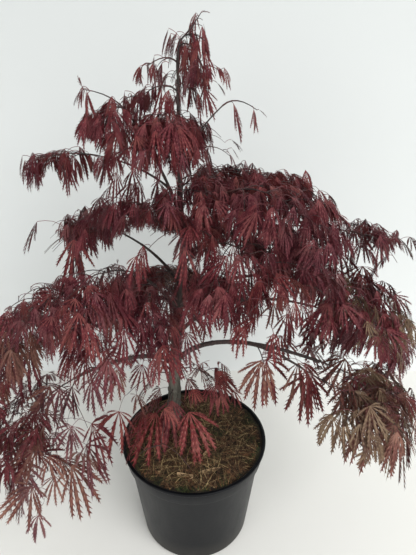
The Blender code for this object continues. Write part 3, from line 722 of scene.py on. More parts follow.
def maple_bark():
    """Thin young bark: grey-green low on the trunk, near-black brown above, streaked upright."""
    material, tree, shader = new_material("young_maple_bark", {"IOR": 1.45})
    place = add_node(tree, "TexCoord").outputs["Object"]
    upright = add_node(tree, "Mapping", {"Scale": (1, 1, 0.12)}, {"Vector": place})
    lines = {"Scale": 1 / STREAK_SIZE, "Detail": 5, "Roughness": 0.6}
    streaks = add_node(tree, "TexNoise", lines, {"Vector": upright})
    broad = {"Scale": 1 / BLOTCH_SIZE, "Detail": 3}
    blotches = add_node(tree, "TexNoise", broad, {"Vector": place})
    low = add_node(
        tree, "ValToRGB", links={"Fac": streaks}, stops=((0.35, "#2e2c26"), (0.68, "#67645a"))
    )
    high = add_node(
        tree, "ValToRGB", links={"Fac": streaks}, stops=((0.35, "#1b1413"), (0.70, "#463632"))
    )
    height = add_node(tree, "SeparateXYZ", links={"Vector": place}).outputs["Z"]
    wander = add_node(
        tree, "Math", {"operation": "MULTIPLY_ADD", 1: 0.16, 2: -0.08}, {0: blotches}
    )
    level = add_node(tree, "Math", {"operation": "ADD"}, {0: height, 1: wander})
    ageing = add_node(tree, "MapRange", {"From Min": 0.32, "From Max": 0.40}, {"Value": level})
    tone = add_node(tree, "MixRGB", links={"Fac": ageing, "Color1": low, "Color2": high})
    rough = add_node(tree, "MapRange", {"To Min": 0.6, "To Max": 0.9}, {"Value": streaks})
    relief = add_node(tree, "Bump", {"Strength": 0.5, "Distance": 0.0006}, {"Height": streaks})
    wire(shader, {"Base Color": tone, "Roughness": rough, "Normal": relief})
    return material


bark = maple_bark()
trunk_route = [Vector((station.x, station.y, station.height)) for station in TRUNK]
trunk_body = limb_mesh("trunk", trunk_route, [s.radius for s in TRUNK], TRUNK_SIDES, 0)
trunk = add_piece("trunk_bark", joined([trunk_body], "trunk_bark"), bark)
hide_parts("trunk")
bough_bodies = []
for bough_name, bough in BOUGHS.items():
    route = bough_points(bough_name)
    radii = np.linspace(bough.radius, bough.radius * BOUGH_TIP_SHARE, len(route))
    bough_bodies.append(limb_mesh(bough_name, route, radii, BOUGH_SIDES, COLLAR_SWELL))
boughs = add_piece("bough_bark", joined(bough_bodies, "bough_bark"), bark)
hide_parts(*BOUGHS)

# ---- twigs ---------------------------------------------------------------------------------
# Each mass of foliage grows from one stem off a limb, through an egg-shaped space of its own. Side
# twigs leave the stem in pairs and fork again, arch over and hang. The shoots are cut short here
# to the ones that carry leaves.

Mass = namedtuple("Mass", "carrier at bearing reach width fall dip leafiness tints")
# The tints that a mass deals to its sprays.
PLUM = ("plum", "garnet", "burgundy", "plum", "mauve", "garnet")
DUSK = ("plum", "garnet", "plum", "burgundy")
WINE = ("burgundy", "garnet", "plum", "burgundy", "wine")
LOW = ("mauve", "russet", "garnet", "russet", "burgundy")
CRIMSON = ("crimson", "burgundy", "crimson")
MIXED = ("plum", "burgundy", "russet", "garnet", "bronze", "garnet", "plum", "burgundy")
BRONZE = ("bronze", "russet", "bronze", "garnet", "bronze", "russet")
MASSES = {
    "foliage_" + name: Mass(*values)
    for name, *values in (
        ("crest", "trunk", 0.907, 20, 0.064, 0.120, 0.150, -48, 1.15, WINE),
        ("tip_right", "trunk", 0.900, -30, 0.064, 0.090, 0.170, 34, 1.15, WINE),
        ("tip_left", "trunk", 0.880, -160, 0.060, 0.090, 0.130, 6, 1.0, PLUM),
        ("tip_back", "trunk", 0.864, 70, 0.090, 0.120, 0.160, 22, 1.1, PLUM),
        ("upper_left", "trunk", 0.842, -150, 0.090, 0.120, 0.160, 10, 1.3, WINE),
        ("upper_right", "trunk", 0.800, -44, 0.085, 0.115, 0.165, 34, 1.0, WINE),
        ("upper_front", "trunk", 0.804, -112, 0.150, 0.160, 0.190, 18, 1.1, DUSK),
        ("upper_back", "trunk", 0.782, 85, 0.160, 0.180, 0.180, 20, 1.2, PLUM),
        ("high_left", "bough_left_high", 1, -158, 0.095, 0.140, 0.180, -30, 1.15, WINE),
        ("right_twig", "bough_right_twig", 1, -6, 0.070, 0.080, 0.110, 6, 0.08, WINE),
        ("left_twig", "bough_left_twig", 1, -179, 0.110, 0.120, 0.130, 2, 1.0, WINE),
        ("centre_left", "trunk", 0.644, -134, 0.165, 0.180, 0.130, -27, 0.7, PLUM),
        ("centre_right", "trunk", 0.712, -22, 0.150, 0.160, 0.180, 26, 0.8, PLUM),
        ("centre_front", "trunk", 0.700, -84, 0.180, 0.190, 0.190, 18, 0.72, WINE),
        ("left_thin", "bough_left_thin", 1, -172, 0.125, 0.160, 0.160, 14, 0.55, PLUM),
        ("left_inner", "trunk", 0.546, -172, 0.160, 0.170, 0.150, 24, 0.75, WINE),
        ("right_shoulder", "trunk", 0.700, 22, 0.220, 0.190, 0.170, 2, 0.68, WINE),
        ("right_fountain", "bough_right_fountain", 1, -28, 0.180, 0.200, 0.190, 14, 0.9, DUSK),
        ("right_back", "bough_back_right", 1, 20, 0.200, 0.220, 0.180, 8, 0.9, WINE),
        ("right_inner", "bough_right_far", 0.5, -34, 0.190, 0.170, 0.180, 16, 0.8, PLUM),
        ("right_far", "bough_right_far", 1, -2, 0.210, 0.230, 0.190, 10, 0.5, PLUM),
        ("back_left", "bough_back_left", 1, 140, 0.200, 0.220, 0.180, 16, 0.8, PLUM),
        ("left_dome", "bough_left_dome", 1, -152, 0.220, 0.240, 0.210, 10, 0.95, DUSK),
        ("left_dome_front", "bough_left_dome", 0.75, -108, 0.200, 0.220, 0.210, 16, 0.62, DUSK),
        ("left_far", "bough_left_far", 1, -178, 0.200, 0.210, 0.180, 24, 0.7, LOW),
        ("front_mid", "bough_front_mid", 1, -46, 0.210, 0.230, 0.180, 8, 0.64, MIXED),
        ("right_mid", "bough_right_mid", 1, -10, 0.230, 0.240, 0.220, 22, 0.76, MIXED),
        ("back_mid", "trunk", 0.610, 92, 0.190, 0.200, 0.180, 14, 0.8, PLUM),
        ("back_low", "trunk", 0.450, 104, 0.310, 0.230, 0.190, 2, 0.8, LOW),
        ("back_right_low", "trunk", 0.470, 48, 0.230, 0.200, 0.180, 8, 0.75, LOW),
        ("right_low_far", "bough_right_low_far", 1, 6, 0.200, 0.220, 0.200, 20, 0.9, LOW),
        ("left_low_far", "bough_left_low_far", 1, 176, 0.190, 0.210, 0.200, 28, 0.75, LOW),
        ("left_low", "bough_left_low", 1, -160, 0.210, 0.190, 0.220, 42, 0.6, LOW),
        ("left_low_front", "bough_left_low", 0.8, -116, 0.250, 0.220, 0.230, 36, 0.52, LOW),
        ("right_low", "bough_right_low", 1, -2, 0.190, 0.200, 0.190, 27, 0.5, BRONZE),
        ("right_low_front", "bough_right_low_fork", 1, -12, 0.185, 0.200, 0.190, 20, 0.54, BRONZE),
        ("right_low_inner", "bough_right_low", 0.66, -60, 0.110, 0.120, 0.130, 46, 0.4, LOW),
        ("foot_left", "trunk", 0.335, -165, 0.130, 0.140, 0.140, 16, 0.4, LOW),
        ("foot_right", "trunk", 0.345, -14, 0.140, 0.140, 0.140, 12, 0.75, CRIMSON),
        ("foot_front", "trunk", 0.300, -100, 0.160, 0.180, 0.140, 22, 0.25, CRIMSON),
    )
}
SEED = 21
SPACE_DROP = 0.24  # how far the egg's middle hangs below its stem, as a share of its fall
STEM_CLIMB = 42
STEM_SHARE = 0.74
STEM_RADIUS = 0.0014
PAIR_SPACING = 0.031  # between the pairs of side twigs on a stem
PAIR_PLACES = (0.22, 0.94)
PAIR_STAGGER = 0.05
SIDE_ANGLE = 56
SIDE_ANGLE_STRAY = 16
SIDE_SHARE = 0.38
SIDE_LENGTHS = (0.70, 1.12)
SIDE_CLIMB = 14
SIDE_FALL = 0.35
SIDE_RADIUS = 0.0009
FORK_FROM = 0.040  # a shorter side twig doesn't fork
FORK_PLACES = (0.36, 0.70)
FORK_ANGLE = 44
FORK_SHARE = 0.52
FORK_RADIUS = 0.0006
TWIG_OVERHANG = 1.05
TIP_SHARE = 0.4
TWIG_STEPS = 6
TWIG_SIDES = 5
TUBE_SEAM = (0.13, 0.27, 0.95)  # a direction that no twig follows

Twig = namedtuple("Twig", "points radius length")


class Space:
    """The egg-shaped space that a mass keeps to."""

    def __init__(self, root, mass):
        axis = heading(mass.bearing, -mass.dip)
        side = Vector((0, 0, 1)).cross(axis).normalized()
        self.axes = np.array([axis, side, axis.cross(side)])
        self.halves = np.array([mass.reach / 2, mass.width / 2, mass.fall / 2])
        drop = Vector((0, 0, SPACE_DROP * mass.fall))
        self.middle = np.array(root + axis * mass.reach / 2 - drop)

    def holds(self, points, overhang):
        """Whether all the points are in the space, or as little outside as the overhang."""
        shares = (np.atleast_2d(points) - self.middle) @ self.axes.T / self.halves
        return bool(((shares**2).sum(axis=1) <= overhang**2).all())


def stem_root(mass):
    """Where the mass's stem leaves its carrier, and which way it sets out."""
    if mass.carrier == "trunk":
        return trunk_at(mass.at)[0], heading(mass.bearing, STEM_CLIMB)
    points = bough_points(mass.carrier)
    if mass.at == 1:
        return points[-1], (points[-1] - points[-2]).normalized()
    return along(points, mass.at), heading(mass.bearing, STEM_CLIMB)


def side_twig(start, bearing, length, radius):
    """A twig that rises a little off its stem and bends down to its tip."""
    end = start + heading(bearing, 0) * length
    end.z -= SIDE_FALL * length
    return Twig(arch(start, heading(bearing, SIDE_CLIMB), end, TWIG_STEPS), radius, length)


def grow_twigs(mass, space, root, out, rng):
    """The mass's stem, its pairs of side twigs and their forks, all inside its space."""
    length = mass.reach * STEM_SHARE
    end = root + heading(mass.bearing, -mass.dip) * length
    stem = Twig(arch(root, out, end, TWIG_STEPS), STEM_RADIUS, length)
    twigs = [stem]
    for place in np.linspace(*PAIR_PLACES, max(2, round(length / PAIR_SPACING))):
        for side in (-1, 1):
            bearing = mass.bearing + side * (SIDE_ANGLE + rng.uniform(-1, 1) * SIDE_ANGLE_STRAY)
            length = mass.width * SIDE_SHARE * rng.uniform(*SIDE_LENGTHS)
            start = along(stem.points, min(place + rng.uniform(-1, 1) * PAIR_STAGGER, 1))
            twig = side_twig(start, bearing, length, SIDE_RADIUS)
            if not space.holds(twig.points[-1], TWIG_OVERHANG):
                continue
            twigs.append(twig)
            for turn, fork_place in zip((-side, side), FORK_PLACES):
                fork = side_twig(
                    along(twig.points, fork_place),
                    bearing + turn * FORK_ANGLE,
                    length * FORK_SHARE * rng.uniform(*SIDE_LENGTHS),
                    FORK_RADIUS,
                )
                if length > FORK_FROM and space.holds(fork.points[-1], TWIG_OVERHANG):
                    twigs.append(fork)
    return twigs


def tubes_mesh(name, routes, radii, sides):
    """Thin tapering tubes along many routes of like length, as one mesh."""
    ways = np.gradient(routes, axis=1)
    ways /= np.linalg.norm(ways, axis=2, keepdims=True)
    across = np.cross(ways, TUBE_SEAM)
    across /= np.linalg.norm(across, axis=2, keepdims=True)
    over = np.cross(ways, across)
    turns = np.linspace(0, math.tau, sides, endpoint=False)[:, None]
    ring = across[:, :, None] * np.cos(turns) + over[:, :, None] * np.sin(turns)
    points = routes[:, :, None] + ring * radii[:, :, None, None]
    count, rings = routes.shape[:2]
    corner = np.arange(sides)
    after = (corner + 1) % sides
    step = np.arange(rings - 1)[:, None] * sides
    around = [step + corner, step + after, step + sides + after, step + sides + corner]
    quads = np.stack(around, axis=-1).reshape(-1, 4)
    faces = quads[None] + (np.arange(count) * rings * sides)[:, None, None]
    return array_mesh(name, points.reshape(-1, 3), faces.reshape(-1, 4))


rngs = {name: random.Random(f"{SEED} {name}") for name in MASSES}
roots = {name: stem_root(mass) for name, mass in MASSES.items()}
spaces = {name: Space(roots[name][0], mass) for name, mass in MASSES.items()}
twigs = {
    name: grow_twigs(mass, spaces[name], *roots[name], rngs[name])
    for name, mass in MASSES.items()
}

# ---- leaves -------------------------------------------------------------------------------
# Each leaf is cut to its base into nine slim lobes, and every lobe is edged with long teeth that
# point forward like a feather's barbs. It hangs from a long thin stalk, folded together when small.
# The upper side is plum to wine-red, crimson when young and bronzed where it is shaded. Pale
# patches on the blades and the paler mauve leaves are painted sheen, the mauve partly leaf colour.

LEAF_HEIGHTS = (0, 0.24, 0.50, 1)  # shares of the crown's height, for the next two
LEAF_LENGTHS = (0.098, 0.088, 0.061, 0.045)
LEAF_OPENINGS = (1, 0.95, 0.78, 0.34)  # how far a leaf spreads its lobes
LEAF_BREADTHS = (1, 1, 0.88, 0.86)  # how broad its lobes are with their teeth
LEAF_SIZES = (0.64, 1.12)
LEAF_TRIES = 4
LEAF_SHRINK = 0.12
LEAF_OVERHANG = 1.20
LEAF_FLANK = 0.6  # where its outermost lobes end, as a share of its length
LEAF_HEART = 0.4  # where it is broadest
LEAF_BREADTH_STRAY = (0.85, 1.1)
LEAF_OPEN_STRAY = (0.55, 1.08)
BOX_MARGIN = 0.012
TWIG_FULLNESS = (0.40, 1.25)  # of one twig, as a share of its mass's leafiness
LEAF_SPACING = 0.34  # between the pairs of leaves on a twig, as a share of a leaf
FIRST_PAIR = 0.6  # of that spacing, from the twig's foot
LEAF_SIDE_ANGLE = 58
LEAF_STRAY = 42
LEAF_ROLL = 52
LEAF_HANGS_LOW = (2, 60)  # at the foot of the crown, from level to hanging
LEAF_HANGS_HIGH = (40, 84)
STALK_SHARE = 0.36
STALK_CLIMBS = (-10, 30)
LOBE_BEARINGS = (-94, -68, -44, -21, 0, 21, 44, 68, 94)
LOBE_LENGTHS = (0.42, 0.64, 0.83, 0.95, 1.0, 0.95, 0.83, 0.64, 0.42)
LOBE_STRAY = 8
LOBE_LENGTH_STRAY = (0.86, 1.08)
LOBE_DROOP_STRAY = (0.75, 1.15)
LOBE_SWAY = 0.14  # how far a lobe bends to one side on its way
LOBE_STEPS = 5
LOBE_WIDTHS = (0.006, 0.016, 0.031, 0.035, 0.025, 0.0)  # half widths, as shares of the length
DROOPS = (0.35, 1.10)  # how far a lobe's tip has turned to hang
TOOTH_PLACES = (0.20, 0.33, 0.46, 0.58, 0.70, 0.81)
TOOTH_LENGTHS = (0.13, 0.17, 0.20, 0.19, 0.16, 0.12)
TOOTH_FOOT = 0.08
TOOTH_ANGLE = 22  # off the midrib, on the broadest leaves
TOOTH_LIFT = 0.12  # how far a tooth stands up off its lobe
MOTTLE_SIZE = 0.00909
# the size of the patches of painted sheen on the leaves
SHEEN_PATCH_SIZE = 0.0333

Leaf = namedtuple("Leaf", "foot base out up length droop open breadth tint")

# Spaces that stay clear between the tiers and under the boughs, so that from EYE the wall shows
# through. Each is a cone, named by the ellipse that it cuts in the upright plane of the trunk.
EYE = np.array((0.027, -0.677, 0.871))
TRUNK_PLANE = 0.03
CLEARINGS = (  # x, z, half the width, half the height
    # between the top's tiers
    (0.040, 0.895, 0.010, 0.010),
    (-0.070, 0.880, 0.015, 0.010),
    (0.040, 0.850, 0.005, 0.010),
    (-0.035, 0.835, 0.010, 0.010),
    (-0.150, 0.820, 0.010, 0.015),
    (0.050, 0.765, 0.015, 0.025),
    (-0.180, 0.750, 0.020, 0.010),
    (0.105, 0.735, 0.025, 0.010),
    (-0.220, 0.710, 0.015, 0.015),
    (0.210, 0.690, 0.015, 0.015),
    # above the left dome and the right shoulder
    (-0.075, 0.600, 0.055, 0.025),
    (-0.260, 0.590, 0.045, 0.045),
    (-0.195, 0.555, 0.050, 0.020),
    (-0.300, 0.515, 0.045, 0.025),
    (-0.335, 0.460, 0.020, 0.020),
    (0.360, 0.575, 0.025, 0.015),
    (0.130, 0.445, 0.020, 0.015),
    # under the dome and the right side, down to the floor
    (-0.310, 0.395, 0.020, 0.020),
    (-0.105, 0.300, 0.025, 0.030),
    (-0.205, 0.210, 0.030, 0.040),
    (-0.280, -0.020, 0.035, 0.040),
    (0.315, 0.355, 0.035, 0.030),
    (0.105, 0.340, 0.015, 0.030),
    (0.190, 0.290, 0.020, 0.030),
)


def in_clearing(points):
    """Whether any of the points shows in a clear space from EYE."""
    lines = points - EYE
    seen = EYE + lines * ((TRUNK_PLANE - EYE[1]) / lines[:, 1:2])
    ellipses = np.array(CLEARINGS)
    shares = (seen[:, None, ::2] - ellipses[:, :2]) / ellipses[:, 2:]
    return bool(((shares**2).sum(axis=-1) < 1).any())


def leaf_share(height):
    """How far up the crown a height is, from 0 to 1."""
    return min(max((height - POT_HEIGHT) / (TRUNK[-1].height - POT_HEIGHT), 0), 1)


def between(low, high, share):
    """The value a share of the way from low to high."""
    return low + (high - low) * share


def at_height(place, values):
    """What holds at a place's height, of values for LEAF_HEIGHTS."""
    return float(np.interp(leaf_share(place.z), LEAF_HEIGHTS, values))


def leaf_fits(leaf_tips, space):
    """Whether a leaf keeps to its mass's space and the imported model's box."""
    low, high = np.array(cad_box)
    in_box = (leaf_tips > low - BOX_MARGIN).all() and (leaf_tips < high + BOX_MARGIN).all()
    return in_box and space.holds(leaf_tips, LEAF_OVERHANG)


def grow_leaf(foot, way, side, tint, space, rng):
    """A leaf off one side of its twig that keeps to its space, or None."""
    share = leaf_share(foot.z)
    hangs = [between(low, high, share) for low, high in zip(LEAF_HANGS_LOW, LEAF_HANGS_HIGH)]
    open_share = at_height(foot, LEAF_OPENINGS)
    breadth = at_height(foot, LEAF_BREADTHS) * rng.uniform(*LEAF_BREADTH_STRAY)
    for trial in range(LEAF_TRIES):
        size = at_height(foot, LEAF_LENGTHS) * rng.uniform(*LEAF_SIZES)
        size *= 1 - LEAF_SHRINK * trial
        bearing = math.degrees(math.atan2(way.y, way.x)) + side * LEAF_SIDE_ANGLE
        bearing += rng.uniform(-1, 1) * LEAF_STRAY
        hang = rng.uniform(*hangs)
        base = foot + heading(bearing, rng.uniform(*STALK_CLIMBS)) * size * STALK_SHARE
        out = heading(bearing, -hang)
        roll = Matrix.Rotation(math.radians(rng.uniform(-1, 1) * LEAF_ROLL), 3, out)
        up = roll @ heading(bearing, 90 - hang)
        droop = rng.uniform(*DROOPS)
        tip = base + (out * (1 - droop / 2) - Vector((0, 0, droop / 2))) * size
        flank = up.cross(out) * size * LEAF_FLANK * open_share
        middle = base + out * size * LEAF_HEART
        tips = np.array(spread([tip, middle + flank, middle - flank, middle.lerp(tip, 0.5)]))
        if leaf_fits(tips, space) and not in_clearing(tips):
            opened = open_share * rng.uniform(*LEAF_OPEN_STRAY)
            return Leaf(foot, base, out, up, size, droop, opened, breadth, tint)
    return None


def grow_leaves(mass, space, twig, tint, rng):
    """A twig's pairs of leaves and the one at its tip, less those that were shed."""
    way = twig.points[-1] - twig.points[0]
    pitch = LEAF_SPACING * at_height(twig.points[0], LEAF_LENGTHS)
    pairs = max(1, round(twig.length / pitch))
    places = [((number + FIRST_PAIR) / pairs, side) for number in range(pairs) for side in (-1, 1)]
    fullness = mass.leafiness * rng.uniform(*TWIG_FULLNESS)
    grown = [
        grow_leaf(along(twig.points, share), way, side, tint, space, rng)
        for share, side in [*places, (1, 0)]
        if rng.random() < fullness
    ]
    return [leaf for leaf in grown if leaf]


class Lobes:
    """All the lobes of some leaves: where each starts, its way, its length and its droop."""

    def __init__(self, leaves, rng):
        base, out, up = (
            np.array(spread(getattr(leaf, part) for leaf in leaves))[:, None]
            for part in ("base", "out", "up")
        )
        length, droop, opened, breadth = (
            np.array([getattr(leaf, part) for leaf in leaves])[:, None]
            for part in ("length", "droop", "open", "breadth")
        )
        shape = (len(leaves), len(LOBE_BEARINGS))
        bearings = opened * LOBE_BEARINGS + rng.uniform(-LOBE_STRAY, LOBE_STRAY, shape)
        turns = np.radians(bearings)[..., None]
        side = np.cross(up, out)
        self.base = np.broadcast_to(base, (*shape, 3)).reshape(-1, 1, 3)
        self.start = (out * np.cos(turns) + side * np.sin(turns)).reshape(-1, 1, 3)
        self.flank = (side * np.cos(turns) - out * np.sin(turns)).reshape(-1, 1, 3)
        lengths = length * LOBE_LENGTHS * rng.uniform(*LOBE_LENGTH_STRAY, shape)
        self.length = lengths.reshape(-1, 1, 1)
        self.droop = (droop * rng.uniform(*LOBE_DROOP_STRAY, shape)).reshape(-1, 1, 1)
        self.sway = rng.uniform(-LOBE_SWAY, LOBE_SWAY, shape).reshape(-1, 1, 1)
        self.breadth = np.broadcast_to(breadth, shape).reshape(-1, 1, 1)

    def at(self, places):
        """The midrib's points at shares of its length, its way and its side there."""
        share = np.array(places)[:, None]
        down = np.array((0.0, 0.0, -1.0))
        fall = self.droop * share**2 / 2
        sway = self.flank * self.sway * share**2
        points = self.base + self.length * (self.start * (share - fall) + down * fall + sway)
        way = self.start * (1 - self.droop * share) + down * self.droop * share
        way += 2 * self.flank * self.sway * share
        way /= np.linalg.norm(way, axis=-1, keepdims=True)
        across = self.flank - (self.flank * way).sum(-1, keepdims=True) * way
        across /= np.linalg.norm(across, axis=-1, keepdims=True)
        return points, way, across


def repeated(faces, count, points_each):
    """The faces of one shape for every one of a row of like shapes."""
    return (np.array(faces)[None] + (np.arange(count) * points_each)[:, None, None]).reshape(-1, 3)


def leaf_mesh(name, lobes):
    """Every lobe's slim blade and its teeth, with how far each point is from the midrib."""
    points, _, across = lobes.at(np.linspace(0, 1, LOBE_STEPS + 1))
    half = across * np.array(LOBE_WIDTHS)[:, None] * lobes.length * lobes.breadth
    blade = np.stack([points + half, points - half], axis=2)
    strip = [(2 * i, 2 * i + 1, 2 * i + 2) for i in range(LOBE_STEPS)]
    strip += [(2 * i + 1, 2 * i + 3, 2 * i + 2) for i in range(LOBE_STEPS - 1)]
    teeth = []
    angle = math.radians(TOOTH_ANGLE) * lobes.breadth
    foot, way, across = lobes.at(TOOTH_PLACES)
    after, _, _ = lobes.at(np.array(TOOTH_PLACES) + TOOTH_FOOT)
    reach = np.array(TOOTH_LENGTHS)[:, None] * lobes.length
    for side in (-1, 1):
        over = np.cross(way, across)
        out = across * side * np.sin(angle) + way * np.cos(angle) + over * TOOTH_LIFT
        teeth.append(np.stack([foot, after, foot + out * reach][::side], axis=2))
    teeth = np.stack(teeth, axis=1)
    count = len(blade)
    blade_faces = repeated(strip, count, 2 * (LOBE_STEPS + 1))
    tooth_count = teeth.size // 9
    tooth_faces = repeated([(0, 1, 2)], tooth_count, 3) + blade.size // 3
    mesh = array_mesh(
        name,
        np.concatenate([blade.reshape(-1, 3), teeth.reshape(-1, 3)]),
        np.concatenate([blade_faces, tooth_faces]),
    )
    midrib = mesh.attributes.new("across", "FLOAT", "POINT")
    away = np.concatenate([np.tile((-1.0, 1.0), blade.size // 6), np.ones(tooth_count * 3)])
    midrib.data.foreach_set("value", away.astype(np.float32))
    return mesh


def leaf_blade(name, tint):
    """A thin waxy leaf in its own tint, mottled in patches, with a paler midrib and pale patches of
    painted sheen.
    """
    wax = {"Roughness": tint.roughness, "IOR": 1.42, "Specular IOR Level": 0.19}
    material, tree, shader = new_material(name, wax)
    place = add_node(tree, "TexCoord").outputs["Object"]
    mottle = add_node(tree, "TexNoise", {"Scale": 1 / MOTTLE_SIZE, "Detail": 4}, {"Vector": place})
    patches = add_node(tree, "TexNoise", {"Scale": 1 / SHEEN_PATCH_SIZE, "Detail": 2}, {"Vector": place})
    shades = add_node(
        tree, "ValToRGB", links={"Fac": mottle}, stops=((0.3, tint.dark), (0.72, tint.light))
    )
    across = add_node(tree, "Attribute", {"attribute_name": "across"}).outputs["Fac"]
    away = add_node(tree, "Math", {"operation": "ABSOLUTE"}, {0: across})
    rib_fades = {"From Max": 0.45, "To Min": 0.8, "To Max": 0}
    rib = add_node(tree, "MapRange", rib_fades, {"Value": away})
    # Painted sheen: broad patches are mixed towards the paler rib colour, standing in for the
    # highlights on the leaves.
    sheen_patch_starts = {"From Min": 0.5, "From Max": 0.7, "To Max": 0.42}
    painted_sheen = add_node(tree, "MapRange", sheen_patch_starts, {"Value": patches})
    rib_and_sheen = add_node(tree, "Math", {"operation": "MAXIMUM"}, {0: rib, 1: painted_sheen})
    tone = add_node(tree, "MixRGB", {"Color2": linear(tint.rib)}, {"Fac": rib_and_sheen, "Color1": shades})
    wire(shader, {"Base Color": tone})
    return material


# A tint's rib colour is the paler midrib's own colour, and also the colour of its painted sheen
# patches.
Tint = namedtuple("Tint", "dark light rib roughness slot")
TINTS = {
    "plum": Tint("#370f18", "#56222a", "#7c504d", 0.46, "leaf_plum"),
    "garnet": Tint("#3d1018", "#5d2329", "#804f4b", 0.48, "leaf_plum"),
    # mauve is a paler, greyer tone: partly the leaves' own colour, partly painted sheen of leaf
    # tops that face the sky.
    "mauve": Tint("#401f25", "#64393e", "#8a6661", 0.44, "leaf_plum"),
    "burgundy": Tint("#401116", "#602428", "#835148", 0.48, "leaf_burgundy"),
    "wine": Tint("#3f1117", "#5f2429", "#825048", 0.48, "leaf_burgundy"),
    "crimson": Tint("#4e1b1d", "#72302f", "#9b6157", 0.50, "leaf_burgundy"),
    "russet": Tint("#472522", "#6c433b", "#8b6a5a", 0.48, "leaf_bronze"),
    "bronze": Tint("#432b25", "#6f5a46", "#8a7860", 0.48, "leaf_bronze"),
}
LEAF_SEED = 8

